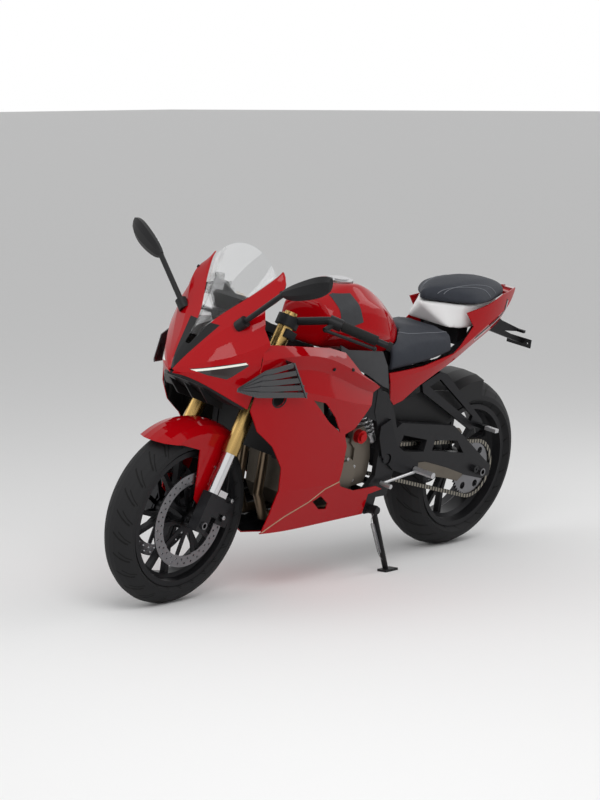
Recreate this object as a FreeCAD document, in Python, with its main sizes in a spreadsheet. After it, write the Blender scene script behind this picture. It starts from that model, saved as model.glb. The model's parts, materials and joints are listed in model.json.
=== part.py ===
import FreeCAD, Part
import math
import os

import Sketcher
from FreeCAD import Placement, Rotation, Vector

# Sport bike leaning on its side stand, in millimetres.
# Each piece is drawn on the upright bike: X forward from the rear axle, Y left, Z up from the ground.
# Its Placement then turns the steering, leans the bike and moves the origin under the middle.

os.makedirs("parts", exist_ok=True)
doc = FreeCAD.newDocument("SportBike")

# Driving sizes
SIZES = (
    ("wheelbase", 1411),
    ("lean_deg", 10.6),
    ("steer_deg", 1.4),
    ("rake_deg", 24.8),
    ("trail", 100),
    ("bead_radius", 218),
    ("front_tyre_height", 82),
    ("front_tyre_width", 120),
    ("rear_tyre_height", 97),
    ("rear_tyre_width", 180),
    ("front_rim_width", 96),
    ("rear_rim_width", 150),
    ("rim_wall", 6),
    ("flange_height", 12),
    ("front_hub_radius", 38),
    ("rear_hub_radius", 52),
    ("rear_hub_half", 84),
    ("spoke_thickness", 22),
    ("front_axle_radius", 12),
    ("front_axle_bore", 8),
    ("rear_axle_radius", 14),
    ("rear_axle_bore", 9),
    ("rear_axle_half", 165),
    ("disc_radius", 160),
    ("disc_inner", 122),
    ("disc_offset", 62),
    ("disc_thickness", 5),
    ("rear_disc_radius", 115),
    ("rear_disc_inner", 84),
    ("chain_line", 106),
    ("chain_width", 18),
    ("sprocket_radius", 104),
    ("sprocket_thickness", 7),
    ("front_sprocket_radius", 44),
    ("front_sprocket_x", 655),
    ("front_sprocket_z", 430),
    ("leg_spacing", 208),
    ("outer_tube_radius", 27),
    ("stanchion_radius", 21.5),
    ("stanchion_length", 139),
    ("foot_above", 107),
    ("clamp_rise", 131),
    ("clamp_spacing", 230),
    ("clamp_thickness", 28),
    ("stem_radius", 16),
    ("head_bore", 16.3),
    ("head_radius", 34),
    ("bar_radius", 11),
    ("grip_radius", 17),
    ("grip_length", 122),
    ("skin", 4),
    ("fit", 0.3),
    ("pivot_x", 580),
    ("pivot_z", 436),
    ("pivot_radius", 16),
    ("arm_thickness", 26),
    ("arm_offset", 122),
    ("plate_inner", 150),
    ("plate_thickness", 18),
    ("engine_half", 95),
    ("header_radius", 17),
    ("bobbin_height", 16),
    ("bobbin_thread_radius", 4),
    ("bobbin_thread_depth", 14),
    ("stand_bolt_radius", 8),
    ("stand_leg_radius", 10),
    ("mirror_stalk_radius", 9),
    ("mirror_foot_radius", 19),
    ("cap_radius", 46),
    ("cap_lid_radius", 30),
    ("vent_radius", 23),
    ("stay_radius", 7),
    ("plate_hole_radius", 3.25),
)

sheet = doc.addObject("Spreadsheet::Sheet", "Sizes")
for row, (alias, value) in enumerate(SIZES, start=1):
    sheet.set("A%d" % row, alias)
    sheet.set("B%d" % row, str(value))
    sheet.setAlias("B%d" % row, alias)
doc.recompute()


def size(alias):
    return float(sheet.get(alias))


# Places worked out from the sizes
WHEELBASE = size("wheelbase")
LEAN = math.radians(size("lean_deg"))
SKIN = size("skin")
FIT = size("fit")
ALONG = Vector(1, 0, 0)
LEFT = Vector(0, 1, 0)
UP = Vector(0, 0, 1)
FRONT_RADIUS = size("bead_radius") + size("front_tyre_height")
REAR_RADIUS = size("bead_radius") + size("rear_tyre_height")

# Crown of a tyre, from the middle to the bead: share of the half width, share of the height over the bead
CROWN = ((0.00, 1.00), (0.26, 0.97), (0.52, 0.876), (0.76, 0.707), (0.94, 0.488), (1.00, 0.31), (0.82, 0.20))


def tyre_profile(height, width):
    """Crown of a tyre as (distance from the wheel's middle plane, radius), from one side to the other."""
    wall = [(width / 2 * share, size("bead_radius") + height * rise) for share, rise in CROWN]
    return [(-y, r) for y, r in reversed(wall[1:])] + wall


def ground_reach(height, width):
    """How far below its own axle a leaning tyre's lowest point is."""
    return max(r * math.cos(LEAN) + y * math.sin(LEAN) for y, r in tyre_profile(height, width))


REAR_AXLE = Vector(0, 0, REAR_RADIUS)
REAR_REACH = ground_reach(size("rear_tyre_height"), size("rear_tyre_width"))
FRONT_REACH = ground_reach(size("front_tyre_height"), size("front_tyre_width"))
FRONT_AXLE = Vector(WHEELBASE, 0, REAR_AXLE.z + (FRONT_REACH - REAR_REACH) / math.cos(LEAN))
LIFT = REAR_REACH - REAR_AXLE.z * math.cos(LEAN)

# The chassis and the bodywork are drawn on this layout, and follow the axles when a size moves them
LAYOUT_WHEELBASE = 1411
LAYOUT_AXLE_HEIGHT = 315
STRETCH = WHEELBASE / LAYOUT_WHEELBASE
RIDE = REAR_AXLE.z - LAYOUT_AXLE_HEIGHT


def spot(x, y, z):
    """A point of the layout on the real bike."""
    return Vector(x * STRETCH, y, z + RIDE)


# The fork's own frame has its Z up the steering axis and its X square to it, pointing forward
AXIS_FOOT = Vector(WHEELBASE + size("trail"), 0, 0)
FORK = Placement(AXIS_FOOT, Rotation(LEFT, -size("rake_deg")))
fork_axle = FORK.inverse().multVec(FRONT_AXLE)
LEG_X = fork_axle.x
LEG_Y = size("leg_spacing") / 2
AXLE_UP = fork_axle.z
FOOT_TOP = AXLE_UP + size("foot_above")
TUBE_BOTTOM = FOOT_TOP + size("stanchion_length")
LOWER_CLAMP = AXLE_UP + FRONT_RADIUS + size("clamp_rise")
UPPER_CLAMP = LOWER_CLAMP + size("clamp_spacing")
CLIP_UP = UPPER_CLAMP + size("clamp_thickness") + 25
TUBE_TOP = CLIP_UP + 24

steer_turn = Placement(Vector(), Rotation(UP, size("steer_deg")))
steering = FORK.multiply(steer_turn).multiply(FORK.inverse())
leaning = Placement(Vector(0, 0, LIFT), Rotation(ALONG, -size("lean_deg")))

# Building helpers
finished = []


def done(piece, label, steers=False, at=None):
    """Names a finished piece and notes where it goes: in the fork's frame, at a wheel's middle or as drawn."""
    piece.Label = label
    finished.append((piece, label, steers, at or Placement()))
    return piece


def feature(name, shape):
    piece = doc.addObject("Part::Feature", name)
    piece.Shape = shape
    return piece


def box(name, corner, length, width, height):
    piece = doc.addObject("Part::Box", name)
    piece.Length, piece.Width, piece.Height = length, width, height
    piece.Placement.Base = corner
    return piece


def rod(name, start, end, radius):
    """A round bar between two points, its radius an expression of the sheet's sizes."""
    piece = doc.addObject("Part::Cylinder", name)
    piece.Height = (end - start).Length
    piece.Placement = Placement(start, Rotation(UP, end - start))
    piece.setExpression("Radius", radius)
    return piece


def fused(name, *pieces):
    piece = doc.addObject("Part::MultiFuse", name)
    piece.Shapes = list(pieces)
    return piece


def grouped(name, *pieces):
    piece = doc.addObject("Part::Compound", name)
    piece.Links = list(pieces)
    return piece


def minus(name, base, tool):
    piece = doc.addObject("Part::Cut", name)
    piece.Base = base
    piece.Tool = tool
    return piece


def common(name, *pieces):
    piece = doc.addObject("Part::MultiCommon", name)
    piece.Shapes = list(pieces)
    return piece


def mirrored(name, source):
    piece = doc.addObject("Part::Mirroring", name)
    piece.Source = source
    piece.Normal = LEFT
    return piece


def both(name, source):
    """A piece of the left side with its twin on the right."""
    return grouped(name, grouped(name + "Left", source), mirrored(name + "Right", source))


def polygon(corners):
    return Part.makePolygon(corners + corners[:1])


def outline(points, y=0.0):
    """A closed side-view outline from the layout's (x, z) points."""
    return polygon([spot(x, y, z) for x, z in points])


def slab(name, points, y, thickness, holes=()):
    """A plate with a side-view outline and windows, from y outwards."""
    face = Part.makeFace([outline(points, y)] + [outline(hole, y) for hole in holes], "Part::FaceMakerBullseye")
    return feature(name, face.extrude(Vector(0, thickness, 0)))


def section(x, points):
    return polygon([spot(x, y, z) for y, z in points])


def loft(name, wires, ruled=False):
    piece = doc.addObject("Part::Loft", name)
    piece.Sections = [feature("%sSection%d" % (name, i), wire) for i, wire in enumerate(wires)]
    piece.Solid = True
    piece.Ruled = ruled
    return piece


def lofted(name, sections, ruled=False):
    """A solid through closed sections, each an x and its (y, z) corners."""
    return loft(name, [section(x, points) for x, points in sections], ruled)


def full_width(half_line):
    """Both sides of a section from its left half, listed from the bottom up."""
    return [(-y, z) for y, z in half_line] + [(y, z) for y, z in reversed(half_line)]


def moved_in(line, depth):
    """An open line of (y, z) corners, listed from the top down on the left side, moved inwards by depth."""
    moved = []
    for i, (y, z) in enumerate(line):
        before = line[max(i - 1, 0)]
        after = line[min(i + 1, len(line) - 1)]
        dy, dz = after[0] - before[0], after[1] - before[1]
        length = math.hypot(dy, dz)
        moved.append((y + dz / length * depth, z - dy / length * depth))
    return moved


def turned(name, profile):
    """A ring turned about the wheel's axis from a closed (y, radius) profile."""
    face = Part.Face(polygon([Vector(0, y, r) for y, r in profile]))
    return feature(name, face.revolve(Vector(), LEFT, 360))


def drum(radius, start, end, x=0.0, z=0.0):
    """A cylinder across the bike from one y to another."""
    return Part.makeCylinder(radius, end - start, Vector(x, start, z), LEFT)


def sketch(body, name, role="XZ_Plane", lift=0.0):
    """A sketch on one of the body's own planes; on the XZ plane its normal points to the right."""
    drawing = body.newObject("Sketcher::SketchObject", name)
    planes = {feature.Role: feature for feature in body.Origin.OriginFeatures}
    drawing.AttachmentSupport = [(planes[role], "")]
    drawing.MapMode = "FlatFace"
    drawing.AttachmentOffset = Placement(Vector(0, 0, lift), Rotation())
    return drawing


def circle(drawing, centre, radius, expression):
    """A circle in a sketch, its radius held by a size of the sheet."""
    index = drawing.addGeometry(Part.Circle(centre, UP, radius), False)
    name = "radius%d" % index
    constraint = drawing.addConstraint(Sketcher.Constraint("Radius", index, radius))
    drawing.renameConstraint(constraint, name)
    drawing.setExpression("Constraints." + name, expression)
    return index


def polar(body, name, source, count):
    pattern = body.newObject("PartDesign::PolarPattern", name)
    axes = {feature.Role: feature for feature in body.Origin.OriginFeatures}
    pattern.Originals = [source]
    pattern.Axis = (axes["Y_Axis"], [""])
    pattern.Angle = 360
    pattern.Occurrences = count
    body.Tip = pattern
    return pattern


# Wheels, each about its own middle
def tyre(name, height, width, rim_width):
    seat = rim_width / 2 - size("rim_wall") - FIT
    bead = size("bead_radius") + FIT
    hook = size("bead_radius") + size("flange_height") + FIT
    crown = tyre_profile(height, width)
    return turned(name, [(-seat, bead), (-seat, hook)] + crown + [(seat, hook), (seat, bead)])


def rim(name, rim_width, hub_radius, hub_half, bore, pairs):
    """A cast rim: a barrel with flanges, a hub and forked spokes."""
    bead = size("bead_radius")
    half = rim_width / 2
    wall = size("rim_wall")
    flange = bead + size("flange_height")
    well = bead - 16
    right = (
        (half * 0.3, well), (half * 0.5, bead - 4), (half - wall, bead), (half - wall, flange), (half, flange),
        (half, bead - wall), (half * 0.55, bead - wall - 5), (half * 0.35, well - wall),
    )
    outside = right[:4]
    inside = right[4:]
    profile = [(-y, r) for y, r in reversed(outside)] + list(outside) + list(inside)
    profile += [(-y, r) for y, r in reversed(inside)]
    barrel = turned(name + "Barrel", profile)
    reach = well - wall / 2
    root = hub_radius * 0.7
    thickness = size("spoke_thickness")
    fork = ((root, 2), (root, 15), (reach * 0.55, 22), (reach, 54), (reach, 36), (reach * 0.52, 5))
    bars = []
    for i in range(pairs):
        for side in (-1, 1):
            arm = Part.Face(polygon([Vector(x, -thickness / 2, side * z) for x, z in fork]))
            arm = arm.extrude(Vector(0, thickness, 0))
            bars.append(arm.rotate(Vector(), LEFT, 360.0 * i / pairs))
    hub = drum(hub_radius, -hub_half, hub_half)
    body = barrel.Shape.fuse([hub] + bars).cut(drum(bore, -hub_half * 2, hub_half * 2))
    return feature(name, body.removeSplitter())


def rotor(name, outer, inner, holes, middle):
    """A drilled disc in the wheel's middle plane, shifted by middle."""
    thickness = size("disc_thickness")
    body = doc.addObject("PartDesign::Body", name)
    ring = sketch(body, name + "Ring", lift=-middle - thickness / 2)
    circle(ring, Vector(), size(outer), "Sizes." + outer)
    circle(ring, Vector(), size(inner), "Sizes." + inner)
    pad = body.newObject("PartDesign::Pad", name + "Pad")
    pad.Profile = ring
    pad.setExpression("Length", "Sizes.disc_thickness")
    body.Tip = pad
    drill = sketch(body, name + "Drill", lift=-middle - thickness)
    band = size(outer) - size(inner)
    for turn, share in ((0.0, 0.3), (0.5, 0.68)):
        angle = 2 * math.pi * turn / holes
        reach = size(inner) + band * share
        drill.addGeometry(Part.Circle(Vector(reach * math.cos(angle), reach * math.sin(angle), 0), UP, 3.6), False)
    pocket = body.newObject("PartDesign::Pocket", name + "Holes")
    pocket.Profile = drill
    pocket.Length = thickness * 2
    pocket.Reversed = True
    body.Tip = pocket
    polar(body, name + "HolePattern", pocket, holes)
    return body


def spider(outer, hub, bore, arms):
    """The carrier between a disc and its hub."""
    thickness = size("disc_thickness")
    half = thickness / 2
    ring = drum(hub, -half, half).cut(drum(bore, -thickness, thickness))
    bars = []
    for i in range(arms):
        arm = Part.makeBox(outer - hub + 10, thickness, 15, Vector(hub - 5, -half, -7.5))
        bars.append(arm.rotate(Vector(), LEFT, 360.0 * i / arms))
    return ring.fuse(bars)


at_front = Placement(FRONT_AXLE, Rotation())
at_rear = Placement(REAR_AXLE, Rotation())
front_hub_half = size("disc_offset") - size("disc_thickness") / 2

done(tyre("FrontTyre", size("front_tyre_height"), size("front_tyre_width"), size("front_rim_width")),
     "front_tyre", True, at_front)
done(rim("FrontRim", size("front_rim_width"), size("front_hub_radius"), front_hub_half,
         size("front_axle_radius") + FIT, 5), "front_rim", True, at_front)
done(tyre("RearTyre", size("rear_tyre_height"), size("rear_tyre_width"), size("rear_rim_width")),
     "rear_tyre", False, at_rear)
done(rim("RearRim", size("rear_rim_width"), size("rear_hub_radius"), size("rear_hub_half"),
         size("rear_axle_radius") + FIT, 5), "rear_rim", False, at_rear)

front_discs = []
for side, word in ((-1, "Right"), (1, "Left")):
    middle = side * size("disc_offset")
    blade = rotor("Rotor" + word, "disc_radius", "disc_inner", 30, middle)
    carrier = feature("Spider" + word, spider(size("disc_inner") + 1, size("front_hub_radius") + 6, 26, 10))
    carrier.Placement.Base = Vector(0, middle, 0)
    front_discs.append(fused("FrontDisc" + word, blade, carrier))
done(grouped("FrontDiscs", *front_discs), "front_brake_discs", True, at_front)

rear_disc_y = -size("rear_hub_half") - size("disc_thickness") / 2
rear_blade = rotor("RearRotor", "rear_disc_radius", "rear_disc_inner", 20, rear_disc_y)
rear_carrier = feature("RearSpider", spider(size("rear_disc_inner") + 1, 46, 30, 6))
rear_carrier.Placement.Base = Vector(0, rear_disc_y, 0)
done(fused("RearDisc", rear_blade, rear_carrier), "rear_brake_disc", False, at_rear)


def sprocket(radius, teeth, thickness, bore):
    """A toothed wheel with lightening holes."""
    tooth_root = radius - 7
    corners = []
    for i in range(teeth):
        for share, r in ((-0.34, tooth_root), (-0.12, radius), (0.12, radius), (0.34, tooth_root)):
            angle = 2 * math.pi * (i + share) / teeth
            corners.append(Vector(r * math.cos(angle), -thickness / 2, r * math.sin(angle)))
    disc = Part.Face(polygon(corners)).extrude(Vector(0, thickness, 0))
    cuts = [drum(bore, -thickness, thickness)]
    middle = (bore + 6 + tooth_root) / 2
    for i in range(6):
        angle = math.pi / 3 * i
        cuts.append(drum((tooth_root - bore) * 0.27, -thickness, thickness,
                         middle * math.cos(angle), middle * math.sin(angle)))
    return disc.cut(Part.makeCompound(cuts))


chain_line = size("chain_line")
rear_hub_half = size("rear_hub_half")
carrier_radius = 50
toothed = sprocket(size("sprocket_radius") - 3, 42, size("sprocket_thickness"), carrier_radius - 6)
toothed.translate(Vector(0, chain_line, 0))
carrier = drum(carrier_radius, rear_hub_half, chain_line + size("sprocket_thickness") / 2)
carrier = carrier.cut(drum(size("rear_axle_radius") + FIT, rear_hub_half - 10, chain_line + 20))
done(feature("RearSprocket", toothed.fuse(carrier)), "rear_sprocket", False, at_rear)

# Drive chain: one closed band round both sprockets, grooved so that it clears the teeth
front_sprocket = spot(size("front_sprocket_x"), 0, size("front_sprocket_z")) - REAR_AXLE
big = size("sprocket_radius")
small = size("front_sprocket_radius")


def belt(rear_r, fore_r, width):
    """The solid inside a band that runs round two round ends."""
    slope = math.atan2(front_sprocket.z, front_sprocket.x)
    opening = math.acos((rear_r - fore_r) / front_sprocket.Length)

    def on_round(centre, radius, angle):
        return centre + Vector(radius * math.cos(angle), 0, radius * math.sin(angle))

    rear_top, rear_low = [on_round(Vector(), rear_r, slope + turn) for turn in (opening, -opening)]
    fore_top, fore_low = [on_round(front_sprocket, fore_r, slope + turn) for turn in (opening, -opening)]
    wire = Part.Wire([
        Part.LineSegment(rear_top, fore_top).toShape(),
        Part.Arc(fore_top, on_round(front_sprocket, fore_r, slope), fore_low).toShape(),
        Part.LineSegment(fore_low, rear_low).toShape(),
        Part.Arc(rear_low, on_round(Vector(), rear_r, slope + math.pi), rear_top).toShape(),
    ])
    solid = Part.Face(wire).extrude(Vector(0, width, 0))
    solid.translate(Vector(0, chain_line - width / 2, 0))
    return solid


plates = belt(big + 6, small + 6, size("chain_width")).cut(belt(big - 7, small - 7, size("chain_width") * 2))
groove = belt(big + 3, small + 3, size("sprocket_thickness") + 3)
done(feature("Chain", plates.cut(groove)), "chain", False, at_rear)

# Fork, drawn in its own frame
legs = []
lowers = []
for side, word in ((-1, "Right"), (1, "Left")):
    y = side * LEG_Y

    def on_leg(height, across=0.0, forward=0.0):
        return Vector(LEG_X + forward, y + across, height)

    tube = rod("Tube" + word, on_leg(TUBE_BOTTOM), on_leg(TUBE_TOP), "Sizes.outer_tube_radius")
    collar = rod("Collar" + word, on_leg(TUBE_BOTTOM), on_leg(TUBE_BOTTOM + 42), "Sizes.outer_tube_radius + 2")
    cap = rod("TubeCap" + word, on_leg(TUBE_TOP), on_leg(TUBE_TOP + 8), "Sizes.outer_tube_radius - 6")
    legs.append(fused("GoldTube" + word, tube, collar, cap))
    stanchion = rod("Stanchion" + word, on_leg(FOOT_TOP - 8), on_leg(TUBE_BOTTOM), "Sizes.stanchion_radius")
    foot = box("Foot" + word, on_leg(AXLE_UP - 26, -19, -24), 48, 38, size("foot_above") + 26)
    lug = box("Lug" + word, on_leg(AXLE_UP + 38, -12, -62), 50, 24, 90)
    whole = fused("Lower" + word, stanchion, foot, lug)
    bore = rod("FootBore" + word, on_leg(AXLE_UP, -30), on_leg(AXLE_UP, 30), "Sizes.front_axle_radius + Sizes.fit")
    lowers.append(minus("LowerBored" + word, whole, bore))
done(grouped("ForkTubes", *legs), "fork_tubes", True, FORK)
done(grouped("ForkLowers", *lowers), "fork_lowers", True, FORK)

FRONT_AXLE_HALF = LEG_Y + 27
axle = rod("FrontAxleBar", Vector(LEG_X, -FRONT_AXLE_HALF, AXLE_UP), Vector(LEG_X, FRONT_AXLE_HALF, AXLE_UP),
           "Sizes.front_axle_radius")
axle_bore = rod("FrontAxleBore", Vector(LEG_X, -FRONT_AXLE_HALF - 10, AXLE_UP),
                Vector(LEG_X, FRONT_AXLE_HALF + 10, AXLE_UP), "Sizes.front_axle_bore")
done(minus("FrontAxle", axle, axle_bore), "front_axle", True, FORK)


def clamp(name, height, front):
    """A yoke round both legs and the stem: a padded outline with a pocket for each tube."""
    body = doc.addObject("PartDesign::Body", name)
    drawing = sketch(body, name + "Outline", "XY_Plane", height)
    arm = LEG_Y
    half = [(-34, 26), (LEG_X - 30, arm + 33), (LEG_X + 22, arm + 35), (LEG_X + front, arm - 20)]
    corners = [Vector(x, y, 0) for x, y in half] + [Vector(x, -y, 0) for x, y in reversed(half)]
    for start, end in zip(corners, corners[1:] + corners[:1]):
        drawing.addGeometry(Part.LineSegment(start, end), False)
    pad = body.newObject("PartDesign::Pad", name + "Pad")
    pad.Profile = drawing
    pad.setExpression("Length", "Sizes.clamp_thickness")
    body.Tip = pad
    eyes = sketch(body, name + "Eyes", "XY_Plane", height + 2 * size("clamp_thickness"))
    for side in (-1, 1):
        circle(eyes, Vector(LEG_X, side * arm, 0), size("outer_tube_radius"), "Sizes.outer_tube_radius + Sizes.fit")
    pocket = body.newObject("PartDesign::Pocket", name + "Bores")
    pocket.Profile = eyes
    pocket.Length = size("clamp_thickness") * 4
    body.Tip = pocket
    return body


stem = rod("Stem", Vector(0, 0, LOWER_CLAMP), Vector(0, 0, UPPER_CLAMP + 10), "Sizes.stem_radius")
done(fused("TripleClamps", clamp("LowerClamp", LOWER_CLAMP, 30), clamp("UpperClamp", UPPER_CLAMP, 12), stem),
     "triple_clamps", True, FORK)

# Bars, drawn on the upright bike: a ring round each tube over the upper clamp, an arm and a bar with its lever
GRIP_START = Vector(WHEELBASE - 376, 270, 967 + RIDE)
GRIP_END = Vector(WHEELBASE - 456, 392, 931 + RIDE)
bar_way = (GRIP_END - GRIP_START).normalize()
bar_root = GRIP_START - bar_way * 48
ring_middle = FORK.multVec(Vector(LEG_X, LEG_Y, CLIP_UP))
fork_up = FORK.Rotation.multVec(UP)
ring = Part.makeCylinder(38, 36, ring_middle - fork_up * 18, fork_up)
arm_way = (bar_root - ring_middle).normalize()
arm = Part.makeCylinder(13, (bar_root - ring_middle).Length, ring_middle, arm_way)
knee = Part.makeSphere(13, bar_root)
bar = Part.makeCylinder(size("bar_radius"), (GRIP_END - bar_root).Length + 8, bar_root, bar_way)
switches = Part.makeCylinder(21, 44, GRIP_START - bar_way * 46, bar_way)
ahead = Vector(1, 0, -0.35).normalize()
perch = GRIP_START - bar_way * 24
knuckle = perch + ahead * 54
perch_arm = Part.makeCylinder(9, 38, perch + ahead * 16, ahead)
lever_tip = knuckle + bar_way * 165 - ahead * 12
lever = Part.makeCylinder(5.5, (lever_tip - knuckle).Length, knuckle, lever_tip - knuckle)
ball = Part.makeSphere(8, lever_tip)
tank_cup = Part.makeCylinder(17, 40, perch + ahead * 22 + Vector(0, 0, 14), Vector(0, 0, 1))
clip_bore = Part.makeCylinder(size("outer_tube_radius") + FIT, 120, ring_middle - fork_up * 60, fork_up)
left_bar = ring.fuse([arm, knee, bar, switches, perch_arm, lever, ball]).cut(clip_bore)
brake_bar = left_bar.fuse(tank_cup).mirror(Vector(), LEFT)
done(feature("Handlebars", Part.makeCompound([left_bar, brake_bar])), "handlebars", True)
sleeve = Part.makeCylinder(size("grip_radius"), size("grip_length"), GRIP_START, bar_way)
sleeve = sleeve.cut(Part.makeCylinder(size("bar_radius") + FIT, size("grip_length") * 2, GRIP_START - bar_way * 20,
                                      bar_way))
bar_weight = Part.makeCylinder(15, 14, GRIP_END + bar_way * 8, bar_way)
left_grip = feature("GripLeft", Part.makeCompound([sleeve, bar_weight]))
done(both("Grips", left_grip), "grips", True)

# Front brake calipers, hung on the lugs behind the legs
disc_r = size("disc_radius")
caliper_middle = size("disc_offset")
slot_half = size("disc_thickness") / 2 + 5
block = Part.makeBox(62, 44, 96, Vector(LEG_X - disc_r + 10, caliper_middle - 14, AXLE_UP + 24))
block = block.cut(drum(disc_r + 4, caliper_middle - slot_half, caliper_middle + slot_half, LEG_X, AXLE_UP))
hanger = Part.makeBox(disc_r - 122, 32, 42, Vector(LEG_X - disc_r + 60, LEG_Y - 24, AXLE_UP + 58))
pistons = [Part.makeCylinder(15, 8, Vector(LEG_X - disc_r + 41, caliper_middle + 30, AXLE_UP + up), LEFT)
           for up in (50, 92)]
left_caliper = feature("CaliperLeft", block.fuse([hanger] + pistons))
done(both("FrontCalipers", left_caliper), "front_calipers", True, FORK)

# Front mudguard: a turned shell trimmed to its side view, with a blade down each side to the fork's foot
# The side view is in tyre radii from the axle
GUARD_OUTER = ((-73.8, -60), (-73.8, -8), (-55, 15), (-26, 25), (0, 28), (26, 25), (55, 15), (73.8, -8), (73.8, -60))
GUARD_SIDE = ((0.66, 0.93), (0.30, 0.885), (0.02, 0.80), (-0.42, 0.66), (-0.66, 0.78), (-0.80, 0.84),
              (-0.40, 1.20), (0.40, 1.20), (0.72, 0.99))
BLADE_SIDE = ((0.02, 0.84), (0.01, 0.55), (0.005, 0.24), (-0.19, 0.05), (-0.31, 0.20), (-0.42, 0.52),
              (-0.47, 0.70), (-0.40, 0.90), (-0.05, 0.98))


def turned_shell(profile, radius, thickness, start, sweep):
    """A shell about the wheel's axis, from an angle over the front horizontal backwards."""
    outer = [Vector(radius + r, y, 0) for y, r in profile]
    width = profile[-1][0]
    inner = [Vector(radius + r - thickness, y * (1 - thickness / width), 0) for y, r in profile[1:-1]]
    inner = [Vector(outer[0].x, -width + thickness, 0)] + inner + [Vector(outer[-1].x, width - thickness, 0)]
    face = Part.Face(polygon(outer + inner[::-1]))
    face.rotate(Vector(), LEFT, -start)
    return face.revolve(Vector(), LEFT, -sweep)


def wheel_outline(points, y):
    return Part.Face(polygon([Vector(x * FRONT_RADIUS, y, z * FRONT_RADIUS) for x, z in points]))


guard = turned_shell(GUARD_OUTER, FRONT_RADIUS, SKIN, 48, 84)
guard = guard.common(wheel_outline(GUARD_SIDE, -100).extrude(Vector(0, 200, 0)))
blade_y = 73.8
blades = []
boss_spot = FORK.Rotation.multVec(Vector(-9, 0, 87))
for side in (-1, 1):
    blades.append(wheel_outline(BLADE_SIDE, side * blade_y).extrude(Vector(0, -side * SKIN, 0)))
    boss_end = LEG_Y - 19
    blades.append(Part.makeCylinder(9, boss_end - blade_y + SKIN, Vector(boss_spot.x, side * (blade_y - SKIN),
                                                                         boss_spot.z), LEFT * side))
done(feature("FrontFender", guard.fuse(blades)), "front_fender", True, at_front)

# Frame: a head tube, two spars, two pivot plates outside the swingarm and the bars between them
HEAD_LOW = LOWER_CLAMP + size("clamp_thickness") + 4
HEAD_HIGH = UPPER_CLAMP - 4
PLATE_Y = size("plate_inner")
PLATE_OUT = PLATE_Y + size("plate_thickness")
head_tube = Part.makeCylinder(size("head_radius"), HEAD_HIGH - HEAD_LOW, Vector(0, 0, HEAD_LOW))
head_tube.Placement = FORK
head_hole = Part.makeCylinder(size("head_bore"), HEAD_HIGH - HEAD_LOW + 20, Vector(0, 0, HEAD_LOW - 10))
head_hole.Placement = FORK
# x, inner y, outer y, bottom, top
SPAR = (
    (1138, 10, 40, 742, 836),
    (1010, 88, 116, 705, 818),
    (820, 124, 152, 640, 745),
    (650, PLATE_Y, PLATE_OUT, 575, 690),
)
# Side view of the pivot plate, and the lug that carries the side stand
PLATE = ((672, 690), (620, 676), (566, 600), (522, 500), (520, 400), (546, 300), (665, 300), (664, 340),
         (622, 380), (622, 500), (655, 575), (672, 610))
STAND_LUG = ((600, 310), (612, 246), (652, 246), (664, 310))
frame_parts = [head_tube]
for side in (-1, 1):
    wires = [section(x, [(side * a, low), (side * b, low), (side * b, high), (side * a, high)])
             for x, a, b, low, high in SPAR]
    frame_parts.append(Part.makeLoft(wires, True, True))
    plate = Part.Face(outline(PLATE, side * PLATE_Y)).extrude(Vector(0, side * size("plate_thickness"), 0))
    frame_parts.append(plate)
lug = Part.Face(outline(STAND_LUG, PLATE_Y)).extrude(Vector(0, size("plate_thickness"), 0))
frame_parts.append(lug)
# Crossbars: x, z, radius
for x, z, radius in ((596, 650, 14), (560, 330, 12)):
    frame_parts.append(drum(radius, -PLATE_Y, PLATE_Y, spot(x, 0, z).x, spot(x, 0, z).z))
pivot = spot(size("pivot_x"), 0, size("pivot_z"))
frame_parts.append(drum(size("pivot_radius"), -PLATE_OUT - 6, PLATE_OUT + 6, pivot.x, pivot.z))
# Engine mounts: x, z, the y where they end in the frame
engine_half = size("engine_half")
for x, z, end in ((915, 702, 118), (640, 320, PLATE_Y)):
    for side in (-1, 1):
        mount = drum(11, engine_half, end, spot(x, 0, z).x, spot(x, 0, z).z)
        frame_parts.append(mount if side > 0 else mount.mirror(Vector(), LEFT))

stand_pivot = spot(632, 190, 266)
STAND_FOOT = Vector(538 * STRETCH, 213, 0)
foot_local = leaning.inverse().multVec(STAND_FOOT)
leg_way = foot_local - stand_pivot
leg_length = leg_way.Length
leg_way.normalize()
stand_axis = ALONG.cross(leg_way).normalize()
bolt = size("stand_bolt_radius")
frame_parts.append(Part.makeCylinder(bolt, 56, stand_pivot - stand_axis * 40, stand_axis))
frame_parts.append(Part.makeCylinder(bolt + 5, 7, stand_pivot + stand_axis * 13, stand_axis))
frame_parts.append(Part.makeCylinder(bolt + 8, 26, stand_pivot - stand_axis * 39, stand_axis))
frame_shape = frame_parts[0].fuse(frame_parts[1:]).cut(head_hole)
frame_solid = feature("FrameSolid", frame_shape)
done(grouped("Frame", frame_solid), "frame")

# Swingarm: two windowed arms, a bridge ahead of the tyre and a boss each side of the pivot
ARM_IN = size("arm_offset")
ARM_OUT = ARM_IN + size("arm_thickness")
ARM = ((618, 470), (489, 548), (189, 506), (95, 440), (-30, 350), (-62, 330), (-62, 296), (-20, 284),
       (93, 312), (308, 372), (520, 396), (606, 404))
ARM_WINDOWS = (
    ((287, 464), (158, 447), (112, 396), (298, 426)),
    ((470, 502), (335, 470), (345, 428), (492, 444)),
)
arms = []
for side in (-1, 1):
    wires = [outline(points, side * ARM_IN) for points in (ARM,) + ARM_WINDOWS]
    face = Part.makeFace(wires, "Part::FaceMakerBullseye")
    arms.append(face.extrude(Vector(0, side * size("arm_thickness"), 0)))
BRIDGE_X, BRIDGE_LOW, BRIDGE_HIGH = 395, 364, 434
bridge = Part.makeBox(60, ARM_IN * 2, BRIDGE_HIGH - BRIDGE_LOW, spot(BRIDGE_X, -ARM_IN, BRIDGE_LOW))
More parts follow.
